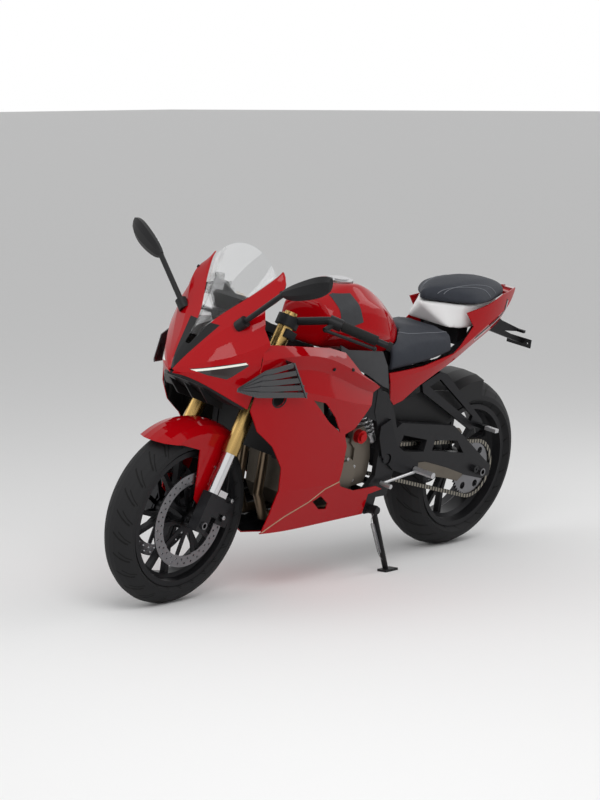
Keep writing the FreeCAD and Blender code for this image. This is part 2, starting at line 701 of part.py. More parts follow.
swing = arms[0].fuse([arms[1], bridge])
swing = swing.cut(drum(size("pivot_radius") + FIT, -200, 200, pivot.x, pivot.z))
swing = swing.cut(drum(size("rear_axle_radius") + FIT, -200, 200, 0, REAR_AXLE.z))
bobbin_spot = Vector(40, ARM_OUT + size("bobbin_height"), REAR_AXLE.z + 15)
for side in (-1, 1):
    seat_spot = Vector(bobbin_spot.x, side * ARM_OUT, bobbin_spot.z)
    rim_spot = Vector(bobbin_spot.x, side * bobbin_spot.y, bobbin_spot.z)
    boss = Part.makeCylinder(13, size("bobbin_height"), seat_spot, LEFT * side)
    thread = Part.makeCylinder(size("bobbin_thread_radius"), size("bobbin_thread_depth"), rim_spot, LEFT * -side)
    swing = swing.fuse(boss).cut(thread)
done(feature("Swingarm", swing), "swingarm")

axle_end = Vector(0, size("rear_axle_half"), 0)
rear_bar = rod("RearAxleBar", REAR_AXLE - axle_end, REAR_AXLE + axle_end, "Sizes.rear_axle_radius")
rear_hole = rod("RearAxleHole", REAR_AXLE - axle_end * 1.1, REAR_AXLE + axle_end * 1.1, "Sizes.rear_axle_bore")
done(minus("RearAxle", rear_bar, rear_hole), "rear_axle")

# Rear shock: a body and a coil sleeve from the bridge to the upper crossbar
shock_foot = spot(448, 0, BRIDGE_HIGH)
shock_top = spot(596, 0, 650)
shock_way = (shock_top - shock_foot).normalize()
damper = Part.makeCylinder(17, (shock_top - shock_foot).Length, shock_foot - shock_way * 20, shock_way)
coil_wall = []
for i in range(8):
    coil_wall += [Vector(26, 0, 18 * i), Vector(35, 0, 18 * i + 6), Vector(35, 0, 18 * i + 12)]
coil_wall += [Vector(26, 0, 144), Vector(0, 0, 144), Vector()]
coils = Part.Face(polygon(coil_wall)).revolve(Vector(), UP, 360)
coils.Placement = Placement(shock_foot + shock_way * 54, Rotation(UP, shock_way))
eye = drum(24, -15, 15, shock_top.x, shock_top.z)
shock = damper.fuse([coils, eye]).cut(drum(14 + FIT, -40, 40, shock_top.x, shock_top.z))
under = Part.makeBox(200, 100, 60, spot(BRIDGE_X, -50, BRIDGE_HIGH) + Vector(-40, 0, FIT - 60))
done(feature("RearShock", shock.cut(under)), "rear_shock")

# Engine: one block mass, with the covers that show
ENGINE = ((622, 330), (640, 275), (950, 275), (985, 335), (985, 480), (1035, 600), (1012, 668), (900, 715),
          (862, 650), (835, 545), (700, 520), (650, 500), (622, 470))
block = Part.Face(outline(ENGINE, -engine_half)).extrude(Vector(0, 2 * engine_half, 0))
done(feature("Engine", block), "engine")
CASE = ((716, 300), (716, 512), (770, 520), (842, 470), (862, 385), (815, 300))
SPROCKET_COVER = ((632, 385), (628, 440), (642, 505), (684, 556), (738, 548), (738, 500), (717, 480), (717, 345),
                  (650, 350))


def left_slab(points, y, thickness):
    return Part.Face(outline(points, y)).extrude(Vector(0, thickness, 0))


def cover_disc(x, z, radius, start, end):
    return drum(radius, start, end, spot(x, 0, z).x, spot(x, 0, z).z)


case = left_slab(CASE, engine_half, 36)
cover_y = chain_line + size("chain_width") / 2 + 4
apron = left_slab(SPROCKET_COVER, cover_y, 20)
generator = [cover_disc(770, 395, 62, engine_half, 148), cover_disc(770, 395, 50, 148, 156)]
ribs = [left_slab(((x, 300), (x + 7, 300), (x + 7, 330), (x, 330)), engine_half, 48) for x in (735, 760, 785, 810)]
ring_cap = [cover_disc(708, 524, 23, cover_y, 158), cover_disc(708, 524, 15, 158, 166)]
inner_sprocket = cover_disc(size("front_sprocket_x"), size("front_sprocket_z"), small - 7 - FIT, engine_half,
                            chain_line + size("chain_width") / 2)
left_covers = case.fuse([apron] + generator + ribs + ring_cap)
clutch = [cover_disc(790, 400, 86, -140, -engine_half), cover_disc(790, 400, 60, -150, -140)]
pump = cover_disc(905, 340, 40, -125, -engine_half)
right_covers = clutch[0].fuse([clutch[1], pump])
done(feature("EngineCovers", Part.makeCompound([left_covers, right_covers, inner_sprocket])), "engine_covers")

# Exhaust: two header tubes down the front of the engine and back under it, then a canister on the right
TYRE_BACK = (WHEELBASE - FRONT_RADIUS) / STRETCH
RADIATOR_BACK = 1090
RADIATOR_FOOT = 500
header_x = min(TYRE_BACK - 36, RADIATOR_BACK - 15)
HEADER = ((1034, 590), (header_x - 8, 545), (header_x, 340), (header_x - 40, 254), (690, 254), (620, 254))
header_r = size("header_radius")
tubes = []
for y in (-46, 46):
    stops = [spot(x, y, z) for x, z in HEADER[:-1]] + [spot(HEADER[-1][0], -30, HEADER[-1][1])]
    for start, end in zip(stops, stops[1:]):
        tubes.append(Part.makeCylinder(header_r, (end - start).Length, start, end - start))
    tubes += [Part.makeSphere(header_r, stop) for stop in stops[1:]]
collector_stops = [spot(620, -30, 254), spot(520, -120, 262), spot(440, -205, 276)]
for start, end in zip(collector_stops, collector_stops[1:]):
    tubes.append(Part.makeCylinder(header_r + 5, (end - start).Length, start, end - start))
tubes.append(Part.makeSphere(header_r + 5, collector_stops[0]))
tubes.append(Part.makeSphere(header_r + 5, collector_stops[1]))
headers = tubes[0].fuse(tubes[1:]).cut(block)
# x, inner y, outer y, bottom, top of the canister
CANISTER = (
    (440, -184, -226, 256, 298),
    (400, -176, -240, 242, 322),
    (300, -174, -258, 262, 376),
    (110, -174, -258, 322, 440),
    (60, -180, -250, 342, 440),
)


def canister_section(x, inner, outer, low, high):
    """An eight-cornered section of the canister."""
    dy = (inner - outer) * 0.28
    dz = (high - low) * 0.28
    return section(x, ((inner, low + dz), (inner, high - dz), (inner - dy, high), (outer + dy, high),
                       (outer, high - dz), (outer, low + dz), (outer + dy, low), (inner - dy, low)))


canister = Part.makeLoft([canister_section(*row) for row in CANISTER], True, True)
mouth = canister_section(60, -192, -238, 356, 426)
mouth = Part.Face(mouth).extrude(Vector(30, 0, 0))
strap = Part.makeBox(24, 36, 24, spot(72, -ARM_OUT - 36, 394))
muffler = canister.cut(mouth).fuse(strap)
done(feature("Headers", headers.cut(canister)), "exhaust_headers")
done(feature("Muffler", muffler), "muffler")

# Radiator, hung from the spars ahead of the engine
core = Part.makeBox(34, 296, 200, spot(RADIATOR_BACK, -148, RADIATOR_FOOT))
hooks = [Part.makeCylinder(8, 80, spot(RADIATOR_BACK, side * 46, RADIATOR_FOOT + 195) + ALONG * 17)
         for side in (-1, 1)]
tanks = [Part.makeBox(42, 22, 210, spot(RADIATOR_BACK, y, RADIATOR_FOOT - 5) - ALONG * 4)
         for y in (-152, 130)]
radiator = core.fuse(hooks + tanks).cut(frame_shape)
top_trim = Part.makeBox(200, 400, 200, spot(1010, -200, 742))
done(feature("Radiator", radiator.cut(top_trim)), "radiator")

# Bodywork
# Tank: x, then the left half from the bottom up
TANK = (
    (905, (70, 830), (112, 900), (100, 952), (55, 985)),
    (850, (84, 826), (138, 900), (125, 972), (62, 1018)),
    (770, (92, 815), (160, 892), (140, 985), (66, 1040)),
    (680, (95, 800), (166, 872), (142, 965), (60, 1022)),
    (590, (92, 792), (140, 848), (115, 922), (50, 974)),
    (525, (78, 795), (104, 828), (84, 885), (38, 931)),
    (480, (55, 800), (75, 822), (60, 862), (30, 900)),
)
cap_spot = spot(752, 0, 1029)
tank_solid = lofted("TankSolid", [(x, full_width(line)) for x, *line in TANK])
cap_well = rod("CapWell", cap_spot, cap_spot + UP * 60, "Sizes.cap_radius + Sizes.fit")
done(minus("Tank", tank_solid, cap_well), "fuel_tank")
cap_ring = rod("CapRing", cap_spot, cap_spot + UP * 13, "Sizes.cap_radius")
cap_lid = rod("CapLid", cap_spot, cap_spot + UP * 17, "Sizes.cap_lid_radius")
done(fused("FillerCap", cap_ring, cap_lid), "filler_cap")

# Seats and the panel between them: x, then the left half from the bottom up
SEAT = (
    (592, (126, 733), (138, 735), (152, 748), (150, 802), (118, 850)),
    (520, (126, 739), (138, 741), (154, 756), (146, 818), (100, 866)),
    (440, (122, 746), (138, 748), (156, 764), (140, 836), (56, 870)),
    (330, (118, 762), (138, 764), (156, 780), (140, 840), (66, 856)),
    (259, (112, 771), (132, 774), (148, 790), (130, 847), (62, 863)),
)
PILLION_FLOOR = 934
PILLION = (
    (300, (10, PILLION_FLOOR), (20, 948), (15, 966), (6, 978)),
    (232, (64, PILLION_FLOOR), (76, 948), (62, 978), (28, 993)),
    (155, (120, PILLION_FLOOR), (133, 946), (108, 982), (50, 1003)),
    (30, (106, PILLION_FLOOR), (118, 948), (94, 990), (44, 1010)),
    (-70, (70, PILLION_FLOOR), (80, 954), (64, 984), (30, 998)),
    (-135, (26, PILLION_FLOOR), (34, 958), (26, 970), (12, 976)),
)
PANEL_FLOOR = 849
PANEL = (
    (292, (6, 918), (14, PILLION_FLOOR - FIT)),
    (243, (96, PANEL_FLOOR + 6), (56, PILLION_FLOOR - FIT)),
    (180, (108, PANEL_FLOOR), (104, PILLION_FLOOR - FIT)),
    (120, (106, PANEL_FLOOR), (110, PILLION_FLOOR - FIT)),
    (20, (84, PANEL_FLOOR + 10), (92, PILLION_FLOOR - FIT)),
    (-100, (22, 890), (36, PILLION_FLOOR - FIT)),
)
seat_solid = lofted("SeatSolid", [(x, full_width(line)) for x, *line in SEAT])
tank_grown = lofted("TankGrown", [(x, full_width([(y + FIT, z + (FIT if i else -FIT)) for i, (y, z) in enumerate(line)]))
                                  for x, *line in TANK])
tank_step = box("TankStep", spot(462, -124, 700), 200, 248, 104)
done(minus("Seat", minus("SeatBehindTank", seat_solid, tank_grown), tank_step), "rider_seat")
done(lofted("Pillion", [(x, full_width(line)) for x, *line in PILLION]), "pillion_seat")
done(lofted("SeatPanel", [(x, full_width(line)) for x, *line in PANEL], True), "seat_hump")


# Curved shells: one master surface, hollowed by the same surface moved in, then trimmed to side-view seams
def skin_solid(name, rows, depth, closed_rows=0, keel=False):
    """The left half inside a master surface moved in by depth; moved in, it opens above and below.
    The first closed rows keep their roof, and a surface with a keel keeps its floor."""
    opening = 0 if depth <= 0 else 60
    sections = []
    for i, (x, *line) in enumerate(rows):
        points = moved_in(line, depth)
        top = line[0][1]
        low = line[-1][1]
        if keel:
            points[-1] = (0, low + depth)
        else:
            points.append((points[-1][0] * 0.97, low - opening - 0.5))
            points.append((0, low - opening - 0.5))
        roof = top - depth if i < closed_rows else top + opening
        points.append((0, roof + 0.5))
        points.append((points[0][0] * 0.5, roof + 0.5))
        sections.append((x, points))
    return lofted(name, sections)


def shell(name, rows, closed_rows=0, keel=False):
    outer = skin_solid(name + "Outer", rows, 0, closed_rows, keel)
    inner = skin_solid(name + "Inner", rows, SKIN, closed_rows, keel)
    return minus(name + "Shell", outer, inner)


# Side surface: x, then (y, z) from the top edge over the ridge and the chine down to the keel
SIDE = (
    (1345, (192, 903), (206, 862), (206, 828), (209, 785), (197, 690), (188, 430), (185, 275), (0, 205)),
    (1250, (206, 905), (231, 868), (229, 822), (238, 768), (215, 590), (200, 410), (185, 262), (0, 195)),
    (1090, (204, 893), (243, 862), (229, 812), (248, 738), (226, 570), (208, 400), (178, 248), (0, 190)),
    (900, (198, 852), (238, 797), (218, 752), (240, 690), (222, 555), (206, 395), (172, 246), (0, 188)),
    (720, (178, 770), (214, 723), (196, 692), (216, 655), (212, 545), (202, 390), (174, 250), (0, 190)),
    (540, (165, 740), (190, 700), (182, 672), (198, 640), (198, 530), (194, 385), (170, 255), (0, 195)),
)
NOSE_SEAM = [(1300, 906), (1322, 880), (1330, 800), (1338, 691)]
BELLY_SEAM = [(1190, 262), (1094, 306), (988, 344), (921, 384), (855, 402)]
ARCH = [(1300, 622), (1228, 566), (1168, 486), (1157, 410), (1172, 322)]
SIDE_REAR = [(852, 444), (857, 527), (882, 572), (835, 586), (781, 643), (716, 716)]
SIDE_TOP = [(842, 778), (914, 850), (1000, 874), (1139, 891), (1250, 903)]
SLIT = ((1090, 716), (1023, 699), (956, 641), (909, 581), (983, 627))
VENT = (1246, 731)
side_shell = shell("Side", SIDE, keel=True)
side_trim = slab("SideTrim", NOSE_SEAM + ARCH + BELLY_SEAM + SIDE_REAR + SIDE_TOP, 0, 320, (SLIT,))
vent_hole = rod("VentHole", spot(VENT[0], 100, VENT[1]), spot(VENT[0], 320, VENT[1]), "Sizes.vent_radius")
left_side = minus("LeftSide", common("LeftSkin", side_shell, side_trim), vent_hole)
done(grouped("LeftFairing", left_side), "side_fairing_left")
done(mirrored("RightFairing", left_side), "side_fairing_right")

BELLY_REST = [(842, 380), (760, 352), (640, 352), (600, 336), (672, 326), (672, 170), (1190, 170)]
BELLY_SLOT = ((966, 340), (930, 356), (880, 322), (880, 300), (918, 304))
belly_trim = slab("BellyTrim", BELLY_SEAM + BELLY_REST, 0, 320, (BELLY_SLOT,))
belly_half = common("BellyHalf", side_shell, belly_trim)
wheel_room = feature("WheelRoom", drum(FRONT_RADIUS + 45, -174, 174, FRONT_AXLE.x, FRONT_AXLE.z))
belly = fused("BellyWhole", belly_half, mirrored("BellyOther", belly_half))
done(minus("Belly", belly, wheel_room), "belly_pan")

# Nose surface: x, then (y, z) from the screen's edge over the crease down to the lower edge
NOSE = (
    (1512, (2, 800), (6, 799.5), (10, 798), (14, 795), (15, 790), (8, 785)),
    (1460, (14, 872), (44, 864), (66, 850), (84, 834), (95, 800), (82, 768)),
    (1400, (25, 936), (80, 926), (118, 898), (144, 862), (153, 800), (138, 732)),
    (1330, (74, 1007), (140, 996), (176, 956), (198, 903), (209, 800), (190, 690)),
    (1215, (154, 1127), (172, 1100), (196, 1010), (216, 915), (238, 800), (214, 600)),
)
EAR = [(1212, 1120), (1224, 1092), (1244, 1060), (1300, 1016), (1313, 958)]
LAMP = ((1490, 808), (1478, 812), (1422, 832), (1366, 850), (1356, 840), (1408, 789), (1453, 796))
nose_shell = shell("Nose", NOSE, closed_rows=2)
nose_trim = slab("NoseTrim", [(1530, 600), (1530, 1250), (1210, 1250)] + EAR + NOSE_SEAM + [(1338, 600)], 0, 320)
nose_skin = common("NoseSkin", nose_shell, nose_trim)
lamp_window = slab("LampWindow", LAMP, 20, 300)
nose_half = minus("NoseHalf", nose_skin, lamp_window)
done(fused("Nose", nose_half, mirrored("NoseOther", nose_half)), "nose_cowl")
lens = common("Lens", nose_skin, slab("LampGlass", LAMP, 20, 300))
done(both("Headlamps", lens), "headlamps")

# Screen: x, half width of its edge, height of its edge, height of its middle
SCREEN = (
    (1432, 17, 904, 908),
    (1380, 36, 957, 972),
    (1310, 84, 1027, 1072),
    (1232, 139, 1108, 1190),
)


def bow(x, half, edge, middle):
    """A bowed section: two arcs, one pane apart."""
    pane = SKIN
    outer = Part.Arc(spot(x, -half, edge), spot(x, 0, middle), spot(x, half, edge)).toShape()
    inner = Part.Arc(spot(x, -half + 1, edge - pane), spot(x, 0, middle - pane),
                     spot(x, half - 1, edge - pane)).toShape()
    sides = [Part.LineSegment(spot(x, side * half, edge), spot(x, side * (half - 1), edge - pane)).toShape()
             for side in (-1, 1)]
    return Part.Wire(Part.sortEdges([outer, inner] + sides)[0])


nose_clear = skin_solid("NoseClear", NOSE, -FIT, closed_rows=2)
nose_clear_both = fused("NoseClearBoth", nose_clear, mirrored("NoseClearOther", nose_clear))
done(minus("Screen", loft("Pane", [bow(*row) for row in SCREEN]), nose_clear_both), "windscreen")

# Underside of the nose: a ribbed tray between its lower edges; x, half width, top, bottom
TRAY = ((1496, 40, 786, 772), (1440, 120, 764, 750), (1390, 170, 733, 716), (1345, 205, 706, 690))
tray = Part.makeLoft([section(x, ((-half, top), (half, top), (half, low), (-half, low)))
                      for x, half, top, low in TRAY], True, True)
fins = [Part.Face(outline(((1450, 748), (1330, 694), (1330, 664), (1400, 690)), y)).extrude(Vector(0, 6, 0))
        for y in (-70, -3, 64)]
nose_room = skin_solid("NoseRoom", NOSE, SKIN + FIT, closed_rows=2)
nose_room_both = fused("NoseRoomBoth", nose_room, mirrored("NoseRoomOther", nose_room))
done(common("NoseTray", feature("TrayRaw", tray.fuse(fins)), nose_room_both), "nose_intake")

# Stays: a stem on the head tube carries the dash, a bar to the nose and, from the spars, bars to the sides
side_room = skin_solid("SideRoom", SIDE, SKIN + FIT, keel=True)
STEM = ((1214, 818), (1246, 818), (1348, 955), (1348, 982), (1322, 982), (1236, 940), (1214, 852))
head_gap = size("head_radius") + FIT
stem_foot = Part.makeBox(72, 28, 40, Vector(head_gap, -14, (HEAD_LOW + HEAD_HIGH) / 2 - 20))
stem_foot.Placement = FORK.multiply(stem_foot.Placement)
stem_post = Part.Face(outline(STEM, -14)).extrude(Vector(0, 28, 0))
stay_core = feature("StayCore", stem_foot.fuse(stem_post))
half_bar = common("StayBar", rod("StayRod", spot(1335, 0, 968), spot(1335, 260, 968), "Sizes.stay_radius"), nose_room)
side_bars = []
for i, (x, y, z) in enumerate(((1040, 88, 770), (860, 132, 700))):
    bar = common("SideStay%d" % i, rod("SideRod%d" % i, spot(x, y, z), spot(x, 300, z), "Sizes.stay_radius"), side_room)
    side_bars.append(minus("SideStayCut%d" % i, bar, frame_solid))
stay_middle = fused("StayMiddle", stay_core, half_bar, mirrored("StayBarOther", half_bar))
done(grouped("Stays", stay_middle, both("SideStays", grouped("SideStayPair", *side_bars))), "fairing_stays")

# Dash on the stem
dash = Part.makeBox(20, 160, 92, Vector(-10, -80, 0))
dash.rotate(Vector(), LEFT, 28)
dash.translate(spot(1246, 0, 945))
done(feature("Dash", dash.cut(stem_post)), "instrument_panel")

# Mirrors: a pad on the nose, a stalk and a drop-shaped head
# Head of the left mirror: y, middle x, middle z, half thickness, half height
MIRROR = (
    (270, 1340, 1094, 9, 10),
    (296, 1334, 1102, 17, 24),
    (345, 1327, 1121, 22, 35),
    (405, 1318, 1147, 20, 36),
    (436, 1313, 1160, 10, 22),
)
ROUND = [(math.cos(math.radians(22.5 + 45 * i)), math.sin(math.radians(22.5 + 45 * i))) for i in range(8)]
mirror_base = spot(1358, 137, 968)
mirror_neck = spot(1340, 274, 1094)
stalk_way = (mirror_neck - mirror_base).normalize()
head = loft("MirrorHead", [polygon([spot(x + a * thick, y, z + b * high) for a, b in ROUND])
                           for y, x, z, thick, high in MIRROR])
stalk = rod("MirrorStalk", mirror_base, mirror_neck, "Sizes.mirror_stalk_radius")
foot = rod("MirrorFoot", mirror_base - stalk_way * 24, mirror_base + stalk_way * 12,
           "Sizes.mirror_foot_radius")
left_mirror = minus("LeftMirror", fused("MirrorRaw", stalk, foot, head), nose_clear)
done(both("Mirrors", left_mirror), "mirrors")

# Winglets: slats fanned from one point over the seam, held by a rib at their tails
WING_TIP = (1400, 186, 762)
WING_BEND = ((1350, 228, 756), (1332, 232, 826))
WING_TAIL = ((1160, 268, 748), (1236, 262, 852))
wing_shapes = []
SLATS = 5
for i in range(SLATS):
    share = i / (SLATS - 1)
    tip = Vector(*WING_TIP) + Vector(0, 0, 8 * share)
    bend = Vector(*WING_BEND[0]) * (1 - share) + Vector(*WING_BEND[1]) * share
    tail = Vector(*WING_TAIL[0]) * (1 - share) + Vector(*WING_TAIL[1]) * share
    stations = [(tip, 3), (bend, 10), (tail, 9)]
    wires = [section(p.x, ((p.y, p.z - rise), (p.y + 3, p.z - rise), (p.y + 6, p.z + rise), (p.y + 3, p.z + rise)))
             for p, rise in stations]
    wing_shapes.append(Part.makeLoft(wires, True, True))
low, high = [spot(*point) for point in WING_TAIL]
inward = Vector(0, -40, 0)
outward = Vector(0, 8, 0)
rib = Part.Face(polygon([low + inward - UP * 9, low + outward - UP * 9, high + outward + UP * 9,
                         high + inward + UP * 9])).extrude(Vector(6, 0, 0))
side_clear = skin_solid("SideClear", SIDE, -FIT, keel=True)
wing_raw = feature("WingRaw", wing_shapes[0].fuse(wing_shapes[1:] + [rib]))
done(both("Winglets", minus("WingLeft", wing_raw, side_clear)), "winglets")

# Seat rails: x, inner y, outer y, bottom, top, with the trays they carry
RAIL = (
    (680, 104, 124, 688, 735),
    (400, 104, 124, 690, 740),
    (290, 104, 124, 712, 752),
    (120, 76, 96, 768, 806),
    (60, 56, 74, 800, 836),
    (-90, 22, 40, 850, 886),
)
rails = []
for side in (-1, 1):
    wires = [section(x, [(side * a, low), (side * b, low), (side * b, high), (side * a, high)])
             for x, a, b, low, high in RAIL]
    rails.append(Part.makeLoft(wires, True, True))
# Crosspieces: x, length, half width, bottom, height
CROSSPIECES = (
    (545, 40, 104, 705, 95 - FIT),
    (300, 60, 106, 722, 20),
    (110, 50, 80, 782, PANEL_FLOOR - 782 - FIT),
    (-20, 30, 44, 826, 24),
)
for x, length, half, low, height in CROSSPIECES:
    rails.append(Part.makeBox(length * STRETCH, half * 2, height, spot(x, -half, low)))
tie_bar = drum(12, -160, 160, spot(668, 0, 684).x, spot(668, 0, 684).z).cut(frame_shape)
subframe = rails[0].fuse(rails[1:] + [tie_bar])
subframe_raw = feature("SubframeRaw", subframe)
done(minus("SubframeUnderTank", subframe_raw, tank_grown), "subframe")

# Tail surface: x, then (y, z) from the top edge down
TAIL = (
    (602, (146, 810), (153, 700), (146, 600)),
    (400, (144, 868), (154, 735), (136, 650)),
    (200, (133, 925), (146, 800), (112, 728)),
    (50, (120, 935), (125, 860), (84, 785)),
    (-80, (84, 965), (86, 890), (50, 815)),
    (-215, (26, 962), (24, 940), (14, 900)),
)
TAIL_SIDE = ((602, 737), (420, 747), (256, 777), (220, 800), (150, 862), (196, 914), (60, 932), (-60, 956),
             (-216, 954), (-216, 934), (-140, 894), (-105, 838), (-50, 822), (116, 779), (324, 713), (425, 672), (538, 608),
             (575, 640))
tail_shell = shell("Tail", TAIL)
tail_trim = slab("TailTrim", TAIL_SIDE, 0, 200)
tail_half = common("TailHalf", tail_shell, tail_trim)
tail_room = skin_solid("TailRoom", TAIL, SKIN + FIT)
tail_full = skin_solid("TailFull", TAIL, 0)
tail_deck = common("TailDeck", box("TailDeckBox", spot(-196, -80, 934), 50, 160, 12),
                   fused("TailFullBoth", tail_full, mirrored("TailFullOther", tail_full)))
done(fused("TailCowl", tail_half, mirrored("TailOther", tail_half), tail_deck), "tail_cowl")
lamp_box = box("LampBox", spot(-214, -60, 930), 16, 120, 22)
both_rooms = fused("TailRooms", tail_room, mirrored("TailRoomOther", tail_room))
done(common("TailLamp", lamp_box, both_rooms), "tail_lamp")

# Bosses from the rails to the tail's sides
tail_bars = []
for i, (x, y, z) in enumerate(((480, 120, 712), (300, 120, 735))):
    tail_bars.append(common("TailBar%d" % i, rod("TailRod%d" % i, spot(x, y + 4 + FIT, z), spot(x, 190, z),
                                                   "Sizes.stay_radius"),
                            tail_room))
done(both("TailBars", grouped("TailBarPair", *tail_bars)), "tail_stays")

# Covers under the tank's sides, each on a boss from the rail
COVER = ((905, 866), (860, 846), (682, 826), (644, 770), (622, 690), (650, 700), (748, 752), (842, 790), (900, 848))
cover = left_slab(COVER, 168, 5)
cover_boss = drum(8, 124, 170, spot(640, 0, 714).x, spot(640, 0, 714).z)
done(both("TankCovers", feature("TankCoverLeft", cover.fuse(cover_boss))), "tank_side_covers")

# Foot pegs
RIDER_HANGER = ((640, 560), (590, 580), (536, 480), (405, 402), (400, 366), (440, 360), (540, 392), (612, 450),
                (640, 520))
rider_plate = left_slab(RIDER_HANGER, PLATE_OUT, 10)
pivot_relief = drum(size("pivot_radius") + 4, 0, 300, pivot.x, pivot.z)
rider_peg = drum(11, PLATE_OUT + 8, PLATE_OUT + 96, spot(422, 0, 382).x, spot(422, 0, 382).z)
pedal_rod = Part.makeCylinder(5, 170, spot(430, PLATE_OUT + 16, 374), Vector(1, 0, -0.12))
pedal_toe = drum(8, PLATE_OUT + 10, PLATE_OUT + 58, spot(600, 0, 354).x, spot(600, 0, 354).z)
rider_left = rider_plate.cut(pivot_relief).fuse([rider_peg, pedal_rod, pedal_toe])
done(both("RiderPegs", feature("RiderPegLeft", rider_left)), "rider_pegs")

PASSENGER_HANGER = ((384, 644), (396, 676), (300, 712), (262, 700), (20, 508), (28, 478), (84, 478))
HANGER_WINDOW = ((352, 662), (296, 684), (76, 526), (84, 508))
face = Part.makeFace([outline(PASSENGER_HANGER, 124), outline(HANGER_WINDOW, 124)], "Part::FaceMakerBullseye")
hanger_plate = face.extrude(Vector(0, 14, 0))
passenger_peg = Part.makeBox(20, 90, 13, spot(32, 138, 485))
done(both("PassengerPegs", feature("PassengerPegLeft", hanger_plate.fuse(passenger_peg))), "passenger_pegs")

# Rear mudguard on the swingarm, with side walls ahead of the tyre
HUGGER_OUTER = ((-98, -60), (-98, 10), (-60, 22), (0, 26), (60, 22), (98, 10), (98, -60))
HUGGER_WALL = ((150, 580), (215, 508), (268, 470), (340, 487), (420, 512), (492, 560), (495, 600), (330, 636),
               (165, 618))
hugger = turned_shell(HUGGER_OUTER, REAR_RADIUS + 2, 3, 30, 62)
hugger.translate(REAR_AXLE)
hugger_parts = []
for side in (-1, 1):
    wall = Part.Face(outline(HUGGER_WALL, side * 98)).extrude(Vector(0, -side * 3, 0))
    tab = Part.makeBox(30, ARM_IN - 93 - (4 if side > 0 else 0), 34, spot(296, 93, 478))
    hugger_parts += [wall, tab if side > 0 else tab.mirror(Vector(), LEFT)]
web = Part.Face(outline(((330, 636), (495, 600), (494, 596), (329, 632)), -98)).extrude(Vector(0, 196, 0))
tyre_room = drum(REAR_RADIUS + 8, -90, 90, 0, REAR_AXLE.z)
done(feature("Hugger", hugger.fuse(hugger_parts + [web]).cut(tyre_room)), "rear_hugger")

# Chain guards against the inner face of the left arm, and the plate on its outer face
GUARDS = (
    ((560, 520), (489, 546), (330, 522), (120, 482), (100, 462), (180, 470), (330, 494), (480, 510)),
    ((394, 388), (394, 360), (330, 345), (90, 280), (60, 300), (95, 330), (308, 384)),
)
ARM_PLATE = ((400, 392), (388, 374), (250, 324), (124, 300), (104, 318), (200, 352), (330, 390))
guards = [left_slab(points, ARM_IN - 4, 4) for points in GUARDS] + [left_slab(ARM_PLATE, ARM_OUT, 3)]
done(feature("ChainGuards", Part.makeCompound(guards)), "chain_guards")

# Rear caliper between the disc and the right arm
caliper = Part.makeBox(72, ARM_IN - rear_hub_half + 13, 46, Vector(44, -ARM_IN, REAR_AXLE.z + 63))
rear_slot = drum(size("rear_disc_radius") + 3, rear_disc_y - slot_half, rear_disc_y + slot_half, 0, REAR_AXLE.z)
done(feature("RearCaliper", caliper.cut(rear_slot)), "rear_caliper")

# Tail bracket behind the seat
HOLDER = ((-96, 850), (-130, 862), (-176, 832), (-293, 790), (-296, 780), (-205, 790), (-325, 745), (-325, 732),
          (-150, 786), (-20, 828), (-20, 848))
holder = Part.Face(outline(HOLDER, -16)).extrude(Vector(0, 32, 0))
light_bar = Part.makeBox(12, 90, 10, spot(-293, -45, 781))
plate_seat = Part.makeBox(4, 110, 32, spot(-327, -55, 722))
plate_middle = spot(-327, 0, 738)
for side in (-1, 1):
    hole = Part.makeCylinder(size("plate_hole_radius"), 20, plate_middle + Vector(-8, side * 40, 0), ALONG)
    plate_seat = plate_seat.cut(hole)
done(feature("PlateHanger", holder.fuse([light_bar, plate_seat]).cut(subframe)), "plate_hanger")

# Side stand: a leg from its eye round the frame's bolt to a foot flat on the ground
eye = Part.makeCylinder(bolt + 8, 22, stand_pivot - stand_axis * 11, stand_axis)
leg = Part.makeCylinder(size("stand_leg_radius"), leg_length - 8, stand_pivot, leg_way)
pad = Part.makeBox(64, 40, 8, Vector(-32, -12, 0))
pad.Placement = leaning.inverse().multiply(Placement(STAND_FOOT, Rotation())).multiply(pad.Placement)
bolt_hole = Part.makeCylinder(bolt + FIT, 40, stand_pivot - stand_axis * 20, stand_axis)
done(feature("SideStand", eye.fuse([leg, pad]).cut(bolt_hole)), "side_stand")

# Placing: steer, lean, then put the origin under the middle of the whole bike
doc.recompute()
for piece, label, steers, at in finished:
    inside = piece.Placement
    piece.Placement = leaning.multiply(steering if steers else Placement()).multiply(at).multiply(inside)
doc.recompute()
whole = FreeCAD.BoundBox()
for piece, label, steers, at in finished:
    if {"Invalid", "Error"} & set(piece.State) or not piece.Shape.Solids or not piece.Shape.isValid():
        raise RuntimeError("%s did not build: %s" % (label, piece.State))
    whole.add(piece.Shape.optimalBoundingBox(True, False))
shift = Vector(-whole.Center.x, -whole.Center.y, -whole.ZMin)
to_origin = Placement(shift, Rotation())
for piece, label, steers, at in finished:
    piece.Placement = to_origin.multiply(piece.Placement)
doc.recompute()

for piece, label, steers, at in finished:
    piece.Shape.exportStep("parts/%s.step" % label)
    print("%-22s %2d solids %8.1f cm3" % (label, len(piece.Shape.Solids), piece.Shape.Volume / 1000))

